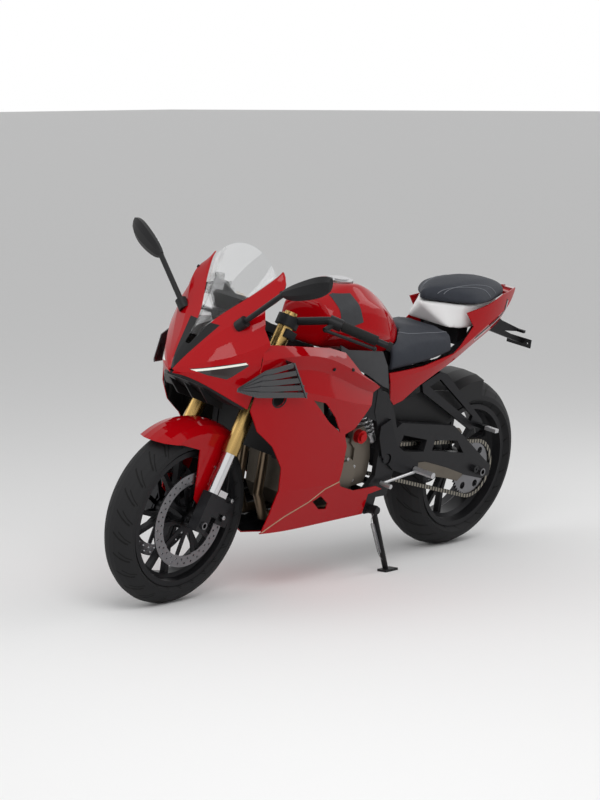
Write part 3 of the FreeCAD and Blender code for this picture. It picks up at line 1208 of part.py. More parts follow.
place = to_origin.multiply(leaning)
turn = place.multiply(steering)
print("bounds", whole, "shift", shift)
print("axis point", turn.multVec(AXIS_FOOT), "axis", turn.Rotation.multVec(fork_up))
print("front axle", turn.multVec(FRONT_AXLE), "front axle axis", turn.Rotation.multVec(LEFT))
print("rear axle", place.multVec(REAR_AXLE), "bike left", place.Rotation.multVec(LEFT))
print("stand pivot", place.multVec(stand_pivot), "fold axis", place.Rotation.multVec(stand_axis))
thread_middle = bobbin_spot - Vector(0, size("bobbin_thread_depth") / 2, 0)
print("bobbins", place.multVec(thread_middle), place.multVec(Vector(thread_middle.x, -thread_middle.y,
                                                                    thread_middle.z)))
print("plate holes", place.multVec(plate_middle), "normal", place.Rotation.multVec(Vector(-1, 0, 0)))
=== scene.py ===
# %% [markdown]
# # A sport bike on its side stand
# The rigid pieces come from the CAD model: wheels, fork, frame, engine and every body panel, each at its
# real place. This lesson dresses them. It gives each piece its finish, pads the two seats, cuts tread into
# the tyres, and adds the small trim that a designer leaves out of the CAD source. Lengths are in metres.
# Places on the upright bike are in millimetres where a comment says so. X points forward, Y to the rider's
# left, Z up.

# %% Start from the CAD frame
import json
import math

import bpy
from mathutils import Matrix, Vector


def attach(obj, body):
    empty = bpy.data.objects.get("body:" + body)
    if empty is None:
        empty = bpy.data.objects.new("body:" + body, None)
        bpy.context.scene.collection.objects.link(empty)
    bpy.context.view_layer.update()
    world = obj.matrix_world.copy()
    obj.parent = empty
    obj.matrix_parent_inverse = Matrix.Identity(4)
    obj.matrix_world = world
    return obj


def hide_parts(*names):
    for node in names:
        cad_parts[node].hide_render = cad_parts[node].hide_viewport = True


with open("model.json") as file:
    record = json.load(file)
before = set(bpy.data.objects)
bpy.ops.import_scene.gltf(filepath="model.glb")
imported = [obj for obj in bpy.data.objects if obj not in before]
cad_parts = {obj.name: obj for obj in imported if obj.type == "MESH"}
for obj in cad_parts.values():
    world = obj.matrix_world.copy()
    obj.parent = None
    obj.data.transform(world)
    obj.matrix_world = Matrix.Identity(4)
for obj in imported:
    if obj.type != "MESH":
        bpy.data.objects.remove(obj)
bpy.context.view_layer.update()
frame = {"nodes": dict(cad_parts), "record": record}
nodes = frame["nodes"]

# %% [markdown]
# The bike leans to its left on its stand. Trim could be placed on the leaning bike, but its numbers would
# then say little. So everything new is placed on an upright bike, and this cell keeps the one turn from
# there to the scene. The rear axle's bore in the record gives both the lean and the place. What sits on the
# fork takes the fork's own small turn first.

# %% The upright bike's place in the scene
STEER = math.radians(1.4)
RAKE = math.radians(24.8)
REAR_RADIUS = 0.315
AXIS_FOOT = Vector((1.511, 0, 0))

mounts = {mount["name"]: mount for mount in frame["record"]["mounts"]}
rear_bore = mounts["rear_axle_bore"]
lean = -math.asin(rear_bore["axis"][2])
leaning = (Matrix.Translation(rear_bore["pos_m"]) @ Matrix.Rotation(-lean, 4, "X")
           @ Matrix.Translation((0, 0, -REAR_RADIUS)))
fork_turn = Matrix.Translation(AXIS_FOOT) @ Matrix.Rotation(-RAKE, 4, "Y")
turned = leaning @ fork_turn @ Matrix.Rotation(STEER, 4, "Z") @ fork_turn.inverted()


def upright(x, y, z):
    """A point of the upright bike from its places in millimetres."""
    return Vector((x, y, z)) / 1000


print("lean in degrees:", round(math.degrees(lean), 2))

# %% [markdown]
# Finishes are made of nodes. They could be wired one by one, but a sum such as `height > 0.4` says more
# than five lines of wiring. So one small class wraps a socket and turns + - * / and comparisons into Math
# nodes.

# %% Sums on sockets
class Signal:
    """One socket of a recipe. Sums on it add Math nodes."""

    def __init__(self, recipe, socket):
        self.recipe = recipe
        self.socket = socket

    def math(self, operation, *values):
        return self.recipe.node("ShaderNodeMath", {"operation": operation}, dict(enumerate(values)))

    def __add__(self, other):
        return self.math("ADD", self, other)

    def __radd__(self, other):
        return self.math("ADD", other, self)

    def __sub__(self, other):
        return self.math("SUBTRACT", self, other)

    def __rsub__(self, other):
        return self.math("SUBTRACT", other, self)

    def __mul__(self, other):
        return self.math("MULTIPLY", self, other)

    def __rmul__(self, other):
        return self.math("MULTIPLY", other, self)

    def __truediv__(self, other):
        return self.math("DIVIDE", self, other)

    def __mod__(self, other):
        return self.math("FLOORED_MODULO", self, other)

    def __gt__(self, other):
        return self.math("GREATER_THAN", self, other)

    def __lt__(self, other):
        return self.math("LESS_THAN", self, other)

    def __abs__(self):
        return self.math("ABSOLUTE", self)


print("sums on sockets add Math nodes")

# %% [markdown]
# Every other kind of node comes from one method, which takes a node's type, its settings and what goes into
# its sockets. A material and the world share it. A finish is a material with one Principled shader. Its
# masks read where a point lies, or which way it looks, on the upright bike. So a mask never moves when a
# piece is made another way.

# %% Recipes and finishes
COAT_ROUGHNESS = 0.04
NOISE_DETAIL = 3.0


class Recipe:
    """A tree of nodes, for a material or for the world."""

    def __init__(self, tree):
        self.tree = tree

    def plug(self, socket, value):
        if isinstance(value, Signal):
            self.tree.links.new(value.socket, socket)
        else:
            socket.default_value = value

    def node(self, kind, settings, inputs, output=0):
        made = self.tree.nodes.new(kind)
        for setting, value in settings.items():
            setattr(made, setting, value)
        for key, value in inputs.items():
            self.plug(made.inputs[key], value)
        return Signal(self, made.outputs[output])


class Finish(Recipe):
    """A material whose Principled shader is fed from signals."""

    def __init__(self, name, colour, roughness, metallic=0.0, coat=0.0, gloss=0.2):
        self.material = bpy.data.materials.new(name)
        self.material.use_nodes = True
        super().__init__(self.material.node_tree)
        self.shader = self.tree.nodes["Principled BSDF"]
        self.set("Base Color", (*colour, 1))
        self.set("Roughness", roughness)
        self.set("Metallic", metallic)
        self.set("Coat Weight", coat)
        self.set("Specular IOR Level", gloss)
        self.set("Coat Roughness", COAT_ROUGHNESS)

    def set(self, name, value):
        self.plug(self.shader.inputs[name], value)

    def place(self):
        """Where a point of the piece is in the scene, in metres."""
        return self.node("ShaderNodeTexCoord", {}, {}, "Object")

    def along(self, matrix, row):
        """How far a point lies along one axis (0, 1 or 2) of a placed frame."""
        back = matrix.inverted()
        reach = self.node("ShaderNodeVectorMath", {"operation": "DOT_PRODUCT"},
                          {0: self.place(), 1: Vector(back[row][:3])}, "Value")
        return reach + back[row][3]

    def facing(self, matrix, row):
        """How far the surface looks along one axis of a placed frame, from -1 to 1."""
        looks = self.node("ShaderNodeTexCoord", {}, {}, "Normal")
        return self.node("ShaderNodeVectorMath", {"operation": "DOT_PRODUCT"},
                         {0: looks, 1: Vector(matrix.col[row][:3])}, "Value")

    def colour(self, mask, first, second):
        """Takes the first colour where a mask is 0 and the second where it is 1."""
        self.set("Base Color", self.node("ShaderNodeMix", {"data_type": "RGBA"},
                                         {0: mask, 6: (*first, 1), 7: (*second, 1)}, 2))

    def noise(self, scale):
        return self.node("ShaderNodeTexNoise", {},
                         {"Vector": self.place(), "Scale": scale, "Detail": NOISE_DETAIL})

    def bump(self, height, distance):
        self.set("Normal", self.node("ShaderNodeBump", {},
                                     {"Height": height, "Distance": distance, "Strength": 1.0}))


print("finishes are ready to be written")

# %% [markdown]
# The body is painted in a deep glossy red under clear coat. One bright glossy colour would look like
# plastic, so the colour below is dark and dull, and only the coat over it shines. Very fine noise keeps the
# reflections from being perfect. The panel under the pillion seat has the same paint in white. The fairing
# panels are bare black plastic inside. A mask does that with no second piece: a face that looks at the
# middle plane is inside.

# %% Body paint
RED = (0.36, 0.001, 0.004)
WHITE = (0.78, 0.78, 0.78)
BLACK = (0.010, 0.010, 0.011)
COAT_IOR = 1.4
PAINT_GRAIN = 900.0
PAINT_DEPTH = 0.00004
LOOKS_INSIDE = -0.25


def paint(name, colour):
    """Dull colour under a shining coat."""
    finish = Finish(name, colour, 0.30, coat=0.6, gloss=0.0)
    finish.set("Coat IOR", COAT_IOR)
    finish.bump(finish.noise(PAINT_GRAIN), PAINT_DEPTH)
    return finish


red_paint = paint("RedPaint", RED)
white_paint = paint("WhitePaint", WHITE)
panel_paint = paint("PanelPaint", RED)
aside = panel_paint.along(leaning, 1)
inside = panel_paint.facing(leaning, 1) * aside.math("SIGN", aside) < LOOKS_INSIDE
panel_paint.colour(inside, RED, BLACK)
print("paint:", red_paint.material.name, white_paint.material.name, panel_paint.material.name)

# %% [markdown]
# The nose is red too, but the wedge between its two halves is black, from the tip up to the screen, and so
# are the strip under the screen's foot and the lining that looks at the rider. Separate panels could show
# this, but one mask is enough and leaves no seam. It reads the distance from the middle plane, so both
# sides match.

# %% Nose paint with its black wedge
WEDGE_FOOT = 0.789
WEDGE_TOP = 0.945
WEDGE_SPREAD = 0.42
STRIP = 0.030
LOOKS_BACK = -0.12

nose_paint = paint("NosePaint", RED)
across = abs(nose_paint.along(leaning, 1))
height = nose_paint.along(leaning, 2)
wedge = (across < (height - WEDGE_FOOT) * WEDGE_SPREAD) * (height < WEDGE_TOP)
strip = (across < STRIP) * (height > WEDGE_TOP)
lining = nose_paint.facing(leaning, 0) < LOOKS_BACK
bare = wedge + strip + lining
nose_paint.colour(bare.math("MINIMUM", bare, 1.0), RED, BLACK)
print("nose wedge starts at", WEDGE_FOOT)

# %% [markdown]
# Plastics, rubber and metals are never quite even. A fine grain in height breaks up their highlights, and
# slow blotches of a darker shade keep a large part from looking like one flat colour. Both come from noise,
# as a picture of a surface would need its own fit to each piece.

# %% Plain finishes
BLOTCH_SHADE = 0.72
BLOTCH_SCALE = 0.05


def grained(name, colour, roughness, metallic=0.0, grain=700.0, depth=0.00006, coat=0.0):
    """A moulded or cast surface, a little uneven in height."""
    finish = Finish(name, colour, roughness, metallic, coat)
    finish.bump(finish.noise(grain), depth)
    return finish


def blotched(name, colour, roughness, metallic=0.0, grain=700.0, depth=0.00006, coat=0.0):
    """A grained surface, a little uneven in colour as well."""
    finish = grained(name, colour, roughness, metallic, grain, depth, coat)
    finish.colour(finish.noise(grain * BLOTCH_SCALE), colour, tuple(BLOTCH_SHADE * part for part in colour))
    return finish


BRONZE = (0.155, 0.135, 0.110)

black_plastic = blotched("BlackPlastic", BLACK, 0.45)
dark_alloy = blotched("DarkAlloy", (0.020, 0.020, 0.022), 0.40, 0.4)
grey_plastic = blotched("GreyPlastic", (0.055, 0.056, 0.060), 0.50)
bronze_alloy = blotched("BronzeAlloy", BRONZE, 0.42, 0.75)
header_pipe = blotched("HeaderPipe", (0.21, 0.155, 0.105), 0.30, 0.9, grain=300.0)
bright_alloy = blotched("BrightAlloy", (0.55, 0.55, 0.56), 0.28, 1.0)
steel = blotched("Steel", (0.22, 0.22, 0.23), 0.32, 1.0, grain=400.0)
gold_tube = blotched("GoldTube", (0.50, 0.33, 0.12), 0.26, 1.0, grain=300.0, depth=0.00002)
grip_rubber = blotched("GripRubber", (0.012, 0.012, 0.012), 0.75, grain=1500.0, depth=0.0003)
amber_lens = blotched("AmberLens", (0.75, 0.16, 0.01), 0.12, coat=1.0)
red_lens = blotched("RedLens", (0.30, 0.004, 0.006), 0.10, coat=1.0)
# Painted highlight: a pale beige for the line along the belly pan's upper edge.
belly_edge_highlight = blotched("BellyEdgeHighlight", (0.50, 0.36, 0.24), 0.5)
mirror_silver = blotched("MirrorSilver", (0.55, 0.56, 0.58), 0.14, 1.0, depth=0.00001)
dash_glass = blotched("DashGlass", (0.008, 0.009, 0.012), 0.08, depth=0.00001, coat=1.0)
print("plain finishes made")

# %% [markdown]
# The fork's lower half is one CAD piece with two finishes: the bright sliding tube and the black cast foot.
# The mask reads how far a point lies up the fork, so its edge runs square round the tube.

# %% Fork legs
FOOT_TOP = 0.4213
CAST_FOOT = (0.016, 0.016, 0.018)
SLIDING_TUBE = (0.62, 0.62, 0.63)

fork_finish = grained("ForkFinish", CAST_FOOT, 0.35, 0.4)
sliding = fork_finish.along(turned @ fork_turn, 2) > FOOT_TOP
fork_finish.colour(sliding, CAST_FOOT, SLIDING_TUBE)
fork_finish.set("Metallic", 0.3 + sliding * 0.7)
fork_finish.set("Roughness", 0.42 - sliding * 0.28)
print("fork turns bright", FOOT_TOP, "up the leg")

# %% [markdown]
# A brake disc has a ground band that the pads run on and a black carrier in its middle. The band shines in
# rings, because it was turned. Both follow from a point's distance to the axle, so this cell also keeps the
# two wheels' places.

# %% Brake discs
WHEELBASE = 1.411
FRONT_AXLE_UP = 0.3002
FRONT_CARRIER = 0.121
REAR_CARRIER = 0.083
RINGS_PER_METRE = 900.0
CARRIER = (0.02, 0.02, 0.022)
BAND = (0.20, 0.20, 0.21)

FRONT_AXLE = turned @ Vector((WHEELBASE, 0, FRONT_AXLE_UP))
REAR_AXLE = leaning @ Vector((0, 0, REAR_RADIUS))
FRONT_WHEEL = Matrix.Translation(FRONT_AXLE) @ turned.to_3x3().to_4x4()
REAR_WHEEL = Matrix.Translation(REAR_AXLE) @ leaning.to_3x3().to_4x4()


def from_axle(finish, wheel):
    """A point's distance from the wheel's axle."""
    ahead = finish.along(wheel, 0)
    above = finish.along(wheel, 2)
    squared = ahead * ahead + above * above
    return squared.math("SQRT", squared)


def disc_finish(name, wheel, carrier):
    """A ground band round a black carrier of the given radius."""
    finish = grained(name, BAND, 0.32, 1.0)
    radius = from_axle(finish, wheel)
    finish.colour(radius > carrier, CARRIER, BAND)
    finish.set("Roughness", 0.30 + ((radius * RINGS_PER_METRE) % 1.0) * 0.06)
    return finish


front_disc = disc_finish("FrontDisc", FRONT_WHEEL, FRONT_CARRIER)
rear_disc = disc_finish("RearDisc", REAR_WHEEL, REAR_CARRIER)
print("front axle at", [round(c, 3) for c in FRONT_AXLE])

# %% [markdown]
# Tread on a sport tyre is a set of slanting grooves that leave the middle plain. Grooves as shape would
# cost many thousand faces and hardly show from a step away, so a bump cuts them, and their floor is painted
# a little darker as shade. Long and short grooves take turns. The sidewalls get fine rings from the mould.

# %% Tyres
# Slant in pitches a metre, width as a share of the pitch, start and end as shares of the half width, shift
LONG_GROOVE = (16.0, 0.10, 0.22, 0.86, 0.0)
SHORT_GROOVE = (22.0, 0.07, 0.50, 0.94, 0.5)
GROOVE_DEPTH = 0.0022
WALL_START = 0.96
RINGS_ON_WALL = 260.0
RING_SHARE = 0.25
RING_DEPTH = 0.3


def tyre_finish(name, wheel, pitches, half_width):
    """Tread with a number of pitches round the tyre."""
    finish = Finish(name, (0.018, 0.018, 0.019), 0.72)
    ahead = finish.along(wheel, 0)
    above = finish.along(wheel, 2)
    turn = above.math("ARCTAN2", above, ahead) / math.tau
    out = abs(finish.along(wheel, 1))

    def cut(slant, width, start, end, shift):
        here = (turn * pitches + shift + out * slant) % 1.0 < width
        return here * (out > half_width * start) * (out < half_width * end)

    groove = out.math("MAXIMUM", cut(*LONG_GROOVE), cut(*SHORT_GROOVE))
    ring = (from_axle(finish, wheel) * RINGS_ON_WALL) % 1.0 < RING_SHARE
    rings = ring * (out > half_width * WALL_START) * RING_DEPTH
    # Painted shade: the groove floors are coloured darker than the tread around them.
    finish.colour(groove, (0.016, 0.016, 0.017), (0.004, 0.004, 0.004))
    finish.bump(1.0 - groove - rings, GROOVE_DEPTH)
    return finish


front_tread = tyre_finish("FrontTread", FRONT_WHEEL, pitches=26, half_width=0.060)
rear_tread = tyre_finish("RearTread", REAR_WHEEL, pitches=24, half_width=0.090)
print("tread on both tyres")

# %% [markdown]
# The winglets are carbon cloth under lacquer. Its weave is a small check of two dark greys, turned by 45
# degrees: two sets of stripes, and a point is light where only one of them is.

# %% Carbon cloth
WEAVES_PER_METRE = 130.0

carbon = Finish("Carbon", (0.02, 0.02, 0.02), 0.30, coat=1.0)
forward = carbon.along(leaning, 0)
upward = carbon.along(leaning, 2)
rising = (forward + upward) * WEAVES_PER_METRE % 1.0 < 0.5
falling = (forward - upward) * WEAVES_PER_METRE % 1.0 < 0.5
carbon.colour(abs(rising - falling), (0.005, 0.005, 0.006), (0.050, 0.050, 0.055))
print("weaves per metre:", WEAVES_PER_METRE)

# %% [markdown]
# The lamps are dark behind clear covers, with one pale strip along their upper edge. The strip follows the
# edge, so its mask measures down from a sloping line. The screen is thin clear sheet. Real sheet bends
# light hardly at all, because both its faces are near each other, so its refraction is set low.

# %% Lamps and screen
LAMP_EDGE = (1.478, 0.812)
LAMP_SLOPE = 0.339
STRIP_FOOT = -0.009
STRIP_TOP = -0.002

lamp_lens = Finish("LampLens", (0.02, 0.02, 0.024), 0.08, coat=0.8)
over_edge = (lamp_lens.along(leaning, 2) - LAMP_EDGE[1]
             + (lamp_lens.along(leaning, 0) - LAMP_EDGE[0]) * LAMP_SLOPE)
daylight = (over_edge > STRIP_FOOT) * (over_edge < STRIP_TOP)
lamp_lens.colour(daylight, (0.018, 0.010, 0.010), (0.85, 0.86, 0.78))

clear_screen = Finish("ClearScreen", (0.93, 0.95, 0.96), 0.02, coat=1.0)
clear_screen.set("Transmission Weight", 1.0)
clear_screen.set("IOR", 1.12)
clear_screen.set("Alpha", 0.42)
print("lamps and screen made")

# %% [markdown]
# A few CAD pieces are one casting in two finishes, or carry a fine pattern that would be wasteful as shape:
# the red oil cap on the engine's cover, the bright footrests on black hangers, the chain's links, the
# radiator's fins with painted shade in the gaps between them, and the muffler's black end. Masks on the
# same upright axes do all five.

# %% Pieces in two finishes
OIL_CAP = Vector((0.708, 0.139, 0.524))
OIL_CAP_RADIUS = 0.024
PEG_START = 0.180
LINKS_PER_METRE = 1 / 0.015875
LINK_SHARE = 0.55
FINS_PER_METRE = 300.0
FIN_SHARE = 0.4
MUFFLER_CAP = 0.088

cover_alloy = grained("CoverAlloy", BRONZE, 0.42, 0.7)
ahead = cover_alloy.along(leaning, 0) - OIL_CAP.x
above = cover_alloy.along(leaning, 2) - OIL_CAP.z
cap = (ahead * ahead + above * above < OIL_CAP_RADIUS ** 2) * (cover_alloy.along(leaning, 1) > OIL_CAP.y)
cover_alloy.colour(cap, BRONZE, (0.45, 0.010, 0.012))

peg_alloy = grained("PegAlloy", (0.02, 0.02, 0.02), 0.35, 0.8)
footrest = abs(peg_alloy.along(leaning, 1)) > PEG_START
peg_alloy.colour(footrest, (0.020, 0.020, 0.022), (0.50, 0.50, 0.51))

chain_steel = grained("ChainSteel", (0.2, 0.2, 0.2), 0.35, 1.0)
link = (chain_steel.along(leaning, 0) * LINKS_PER_METRE) % 1.0 < LINK_SHARE
chain_steel.colour(link, (0.03, 0.03, 0.03), (0.26, 0.24, 0.20))

radiator_core = grained("RadiatorCore", (0.02, 0.02, 0.02), 0.5, 0.3)
# Painted shade: the gaps between the fins are black, and the fins a little lighter.
fin = (radiator_core.along(leaning, 2) * FINS_PER_METRE) % 1.0 < FIN_SHARE
radiator_core.colour(fin, BLACK, (0.05, 0.05, 0.052))

silencer = grained("Silencer", (0.15, 0.15, 0.16), 0.36, 0.9, grain=250.0)
tail_cap = silencer.along(leaning, 0) < MUFFLER_CAP
silencer.colour(tail_cap, (0.16, 0.16, 0.17), (0.018, 0.018, 0.020))
print("covers, footrests, chain, radiator and silencer finished")

# %% [markdown]
# Each CAD piece now gets its finish. A line for each piece would work too, but a table shows at a glance
# what shares a finish.

# %% Dress the CAD pieces
DRESS = (
    (red_paint, ("front_fender", "fuel_tank", "tail_cowl")),
    (panel_paint, ("side_fairing_left", "side_fairing_right", "belly_pan")),
    (nose_paint, ("nose_cowl",)),
    (white_paint, ("seat_hump",)),
    (black_plastic, ("handlebars", "mirrors", "side_stand", "rear_hugger", "nose_intake", "instrument_panel",
                     "fairing_stays", "tail_stays", "plate_hanger")),
    (dark_alloy, ("front_rim", "rear_rim", "triple_clamps", "front_calipers", "swingarm", "rear_caliper",
                  "subframe", "frame")),
    (grey_plastic, ("tank_side_covers",)),
    (bronze_alloy, ("engine", "chain_guards")),
    (cover_alloy, ("engine_covers",)),
    (header_pipe, ("exhaust_headers",)),
    (peg_alloy, ("rider_pegs", "passenger_pegs")),
    (bright_alloy, ("rear_shock", "filler_cap")),
    (steel, ("rear_sprocket", "front_axle", "rear_axle")),
    (silencer, ("muffler",)),
    (chain_steel, ("chain",)),
    (radiator_core, ("radiator",)),
    (gold_tube, ("fork_tubes",)),
    (fork_finish, ("fork_lowers",)),
    (front_disc, ("front_brake_discs",)),
    (rear_disc, ("rear_brake_disc",)),
    (front_tread, ("front_tyre",)),
    (rear_tread, ("rear_tyre",)),
    (grip_rubber, ("grips",)),
    (carbon, ("winglets",)),
    (lamp_lens, ("headlamps",)),
    (red_lens, ("tail_lamp",)),
    (clear_screen, ("windscreen",)),
)


def dress(piece, finish):
    """Gives a piece one finish all over."""
    piece.data.materials.clear()
    piece.data.materials.append(finish.material)


for finish, names in DRESS:
    for name in names:
        dress(nodes[name], finish)
print("dressed", sum(len(names) for finish, names in DRESS), "of", len(nodes), "CAD pieces")

# %% [markdown]
# New pieces are made with the tools that a hand would use, and each tool acts on all that is selected. The
# CAD pieces come in selected, so each step first selects its own piece alone. These helpers do that, copy a
# piece with a mesh of its own, run one tool on a whole mesh and apply a piece's modifiers.

# %% Select, copy and edit
def only(piece):
    """Selects one piece and nothing else."""
    bpy.ops.object.select_all(action="DESELECT")
    piece.select_set(True)
    bpy.context.view_layer.objects.active = piece


def copy_of(source, name):
    """A copy of a piece with its own mesh, selected alone."""
    piece = bpy.data.objects.new(name, source.data.copy())
    bpy.context.collection.objects.link(piece)
    only(piece)
    return piece


def edit_all(piece, tool, **settings):
    """Runs one edit-mode tool on a whole piece."""
    only(piece)
    bpy.ops.object.mode_set(mode="EDIT")
    bpy.ops.mesh.select_all(action="SELECT")
    tool(**settings)
    bpy.ops.object.mode_set(mode="OBJECT")


def apply_all(piece):
    """Applies a piece's modifiers in their order."""
    only(piece)
    for name in [modifier.name for modifier in piece.modifiers]:
        bpy.ops.object.modifier_apply(modifier=name)


def hang(piece, body, finish):
    """Dresses a new piece and hangs it on the body that carries it."""
    dress(piece, finish)
    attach(piece, body)
    print(piece.name, len(piece.data.polygons), "faces on", body)


print("one piece selected at a time")

# %% [markdown]
# The seats are firm foam under a grained cover. Scaling the CAD solid up would keep its hard edges, so the
# cover is blown up as cloth under pressure, with its underside held. Each point's move has a limit, so the
# seat stays within the foam's real thickness of its CAD place.

# %% Blow a cover up
PRESSURE = 3.0
STIFFNESS = 60.0
BENDING = STIFFNESS / 4
FRAMES = 20
LOOKS_DOWN = -0.6


def swell(piece, most):
    """Blows a cover up. No point moves further than most."""
    held = piece.vertex_groups.new(name="Underside")
    held.add([v.index for v in piece.data.vertices if v.normal.z < LOOKS_DOWN], 1.0, "REPLACE")
    before = [v.co.copy() for v in piece.data.vertices]
    cloth = piece.modifiers.new("Cover", "CLOTH")
    cloth.settings.use_pressure = True
    cloth.settings.uniform_pressure_force = PRESSURE
    cloth.settings.tension_stiffness = STIFFNESS
    cloth.settings.compression_stiffness = STIFFNESS
    cloth.settings.bending_stiffness = BENDING
    cloth.settings.effector_weights.gravity = 0
    cloth.settings.vertex_group_mass = held.name
    cloth.point_cache.frame_start = 1
    cloth.point_cache.frame_end = FRAMES
    for step in range(1, FRAMES + 1):
        bpy.context.scene.frame_set(step)
    bpy.ops.object.modifier_apply(modifier=cloth.name)
    bpy.context.scene.frame_set(1)
    for vertex, rest in zip(piece.data.vertices, before):
        move = vertex.co - rest
        if move.length > most:
            vertex.co = rest + move * (most / move.length)


print("cloth runs for", FRAMES, "frames")

# %% [markdown]
# The CAD solid gives each seat its space. Its mesh is loose triangles of very uneven size, which cloth
# can't bend well. So a copy is joined up, wrapped in an even net, drawn in a little and smoothed before it
# is blown up, and smoothed once more after that.

# %% Pad the seats
SEAM_GAP = 0.0002
SEAT_NET = 0.006
DRAWN_IN = 0.004
SMOOTHING = 0.5
PASSES_BEFORE = 6
PASSES_AFTER = 12

seat_cover = blotched("SeatCover", (0.030, 0.034, 0.044), 0.62, grain=1300.0, depth=0.00022)


def wrap(piece, net):
    """Wraps a closed piece in an even net of small faces."""
    voxels = piece.modifiers.new("Net", "REMESH")
    voxels.mode = "VOXEL"
    voxels.voxel_size = net
    apply_all(piece)


def smooth(piece, passes):
    """Takes the edges off a whole piece."""
    edit_all(piece, bpy.ops.mesh.vertices_smooth, factor=SMOOTHING, repeat=passes)


def cushion(node, most):
    """A padded copy of a CAD seat, whose points swell by no more than most."""
    piece = copy_of(nodes[node], node + "_cushion")
    edit_all(piece, bpy.ops.mesh.remove_doubles, threshold=SEAM_GAP)
    edit_all(piece, bpy.ops.mesh.normals_make_consistent, inside=False)
    wrap(piece, SEAT_NET)
    edit_all(piece, bpy.ops.transform.shrink_fatten, value=-DRAWN_IN)
    smooth(piece, PASSES_BEFORE)
    swell(piece, most)
    smooth(piece, PASSES_AFTER)
    finer = piece.modifiers.new("Finer", "SUBSURF")
    finer.levels = 1
    finer.render_levels = 1
    apply_all(piece)
    bpy.ops.object.shade_smooth()
    hang(piece, "chassis", seat_cover)
    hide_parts(node)
    return piece


rider_cushion = cushion("rider_seat", most=0.006)
pillion_cushion = cushion("pillion_seat", most=0.007)

# %% [markdown]
# New trim is made upright and then leaned with the bike. The two helpers here join pieces into one, and
# give a finished piece its name, its place and its body. Its edges stay sharp and its rounds turn smooth.

# %% Join and settle new pieces
IN_SCENE = Matrix.Identity(4)
EDGE_ANGLE = 35


def joined(pieces):
    """Several pieces as one."""
    only(pieces[0])
    for piece in pieces:
        piece.select_set(True)
    bpy.ops.object.join()
    return pieces[0]


def settle(piece, name, body, finish, turn=leaning, angle=EDGE_ANGLE):
    """Names a finished piece, turns it to its place and hangs it on its body."""
    piece.name = name
    piece.matrix_world = turn @ piece.matrix_world
    only(piece)
    bpy.ops.object.transform_apply(location=True, rotation=True, scale=True)
    bpy.ops.object.shade_smooth_by_angle(angle=math.radians(angle))
    hang(piece, body, finish)


print("edges over", EDGE_ANGLE, "degrees stay sharp")

# %% [markdown]
# Both covers are sewn from panels, and the seams show as raised piping. Drawing its line by hand would
# leave it floating or sunk, so a plane cuts a copy of the cushion. The cut's upper half is kept as a line
# and gets a round section. Seams run along each seat in pairs, one a side.

# %% Sew the piping
PIPING_RADIUS = 0.0016
TOP_SLOPE = 0.2
# Seat, its cushion, a point on its left seams in millimetres, and how far each seam's plane turns forward
SEAMS = (("rider_seat", rider_cushion, (400, 100, 800), (0.06,)),
         ("pillion_seat", pillion_cushion, (191, 60, 980), (0.36, 0.16)))

piping_thread = blotched("Piping", (0.17, 0.18, 0.20), 0.6, grain=1800.0, depth=0.0001)


def piping(seat, place, across):
    """A sewn line where a plane of the upright bike cuts the top of a cushion."""
    line = copy_of(seat, "piping")
    bpy.ops.object.mode_set(mode="EDIT")
    bpy.ops.mesh.select_mode(type="VERT")
    bpy.ops.mesh.select_all(action="SELECT")
    bpy.ops.mesh.bisect(plane_co=leaning @ place, plane_no=(leaning.to_3x3() @ across).normalized())
    bpy.ops.mesh.select_all(action="INVERT")
    bpy.ops.mesh.delete(type="VERT")
    bpy.ops.mesh.select_all(action="DESELECT")
    bpy.ops.object.mode_set(mode="OBJECT")
    for vertex in line.data.vertices:
        vertex.select = seat.closest_point_on_mesh(vertex.co)[2].z < TOP_SLOPE
    bpy.ops.object.mode_set(mode="EDIT")
    bpy.ops.mesh.delete(type="VERT")
    bpy.ops.object.mode_set(mode="OBJECT")
    bpy.ops.object.convert(target="CURVE")
    line.data.bevel_depth = PIPING_RADIUS
    line.data.bevel_resolution = 1
    line.data.use_fill_caps = True
    bpy.ops.object.convert(target="MESH")
    return bpy.context.object


for name, seat, (x, y, z), slants in SEAMS:
    seams = [piping(seat, upright(x, side * y, z), Vector((slant, side, 0)))
             for side in (1, -1) for slant in slants]
    settle(joined(seams), name + "_piping", "chassis", piping_thread, IN_SCENE)

# %% [markdown]
# The tank's sheet metal is pressed round, and so is the panel under the pillion seat. Their CAD solids are
# lofts with slight edges. A bevel would round only the sharpest of those. So a copy of each is wrapped in a
# fine net and smoothed, and stands for it: the place and size stay, and the edges turn soft.

# %% Press the tank and the tail panel round
SHEET_GAP = 0.0001
SHEET_NET = 0.004


def pressed(node, passes, finish):
    """A softened copy of a CAD solid, in its place."""
    piece = copy_of(nodes[node], node + "_pressed")
    edit_all(piece, bpy.ops.mesh.remove_doubles, threshold=SHEET_GAP)
    wrap(piece, SHEET_NET)
    smooth(piece, passes)
    bpy.ops.object.shade_smooth()
    hang(piece, "chassis", finish)
    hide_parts(node)
    return piece


TANK_PASSES = 60
TAIL_PASSES = 20

tank = pressed("fuel_tank", TANK_PASSES, red_paint)
pressed("seat_hump", TAIL_PASSES, white_paint)

# %% [markdown]
# Pads, stripes and glass lie on panels that the CAD model already has. A flat piece would stand off a
# curved panel. So each starts as a copy of the panel's own faces on one side, and follows the panel's curve
# everywhere.

# %% Copy a panel's skin
SKIN_GAP = 0.00005


def select_faces(piece, test):
    """Selects the faces that pass a test, and stays in edit mode."""
    only(piece)
    bpy.ops.object.mode_set(mode="EDIT")
    bpy.ops.mesh.select_mode(type="FACE")
    bpy.ops.mesh.select_all(action="DESELECT")
    bpy.ops.object.mode_set(mode="OBJECT")
    for face in piece.data.polygons:
        face.select = test(face)
    bpy.ops.object.mode_set(mode="EDIT")


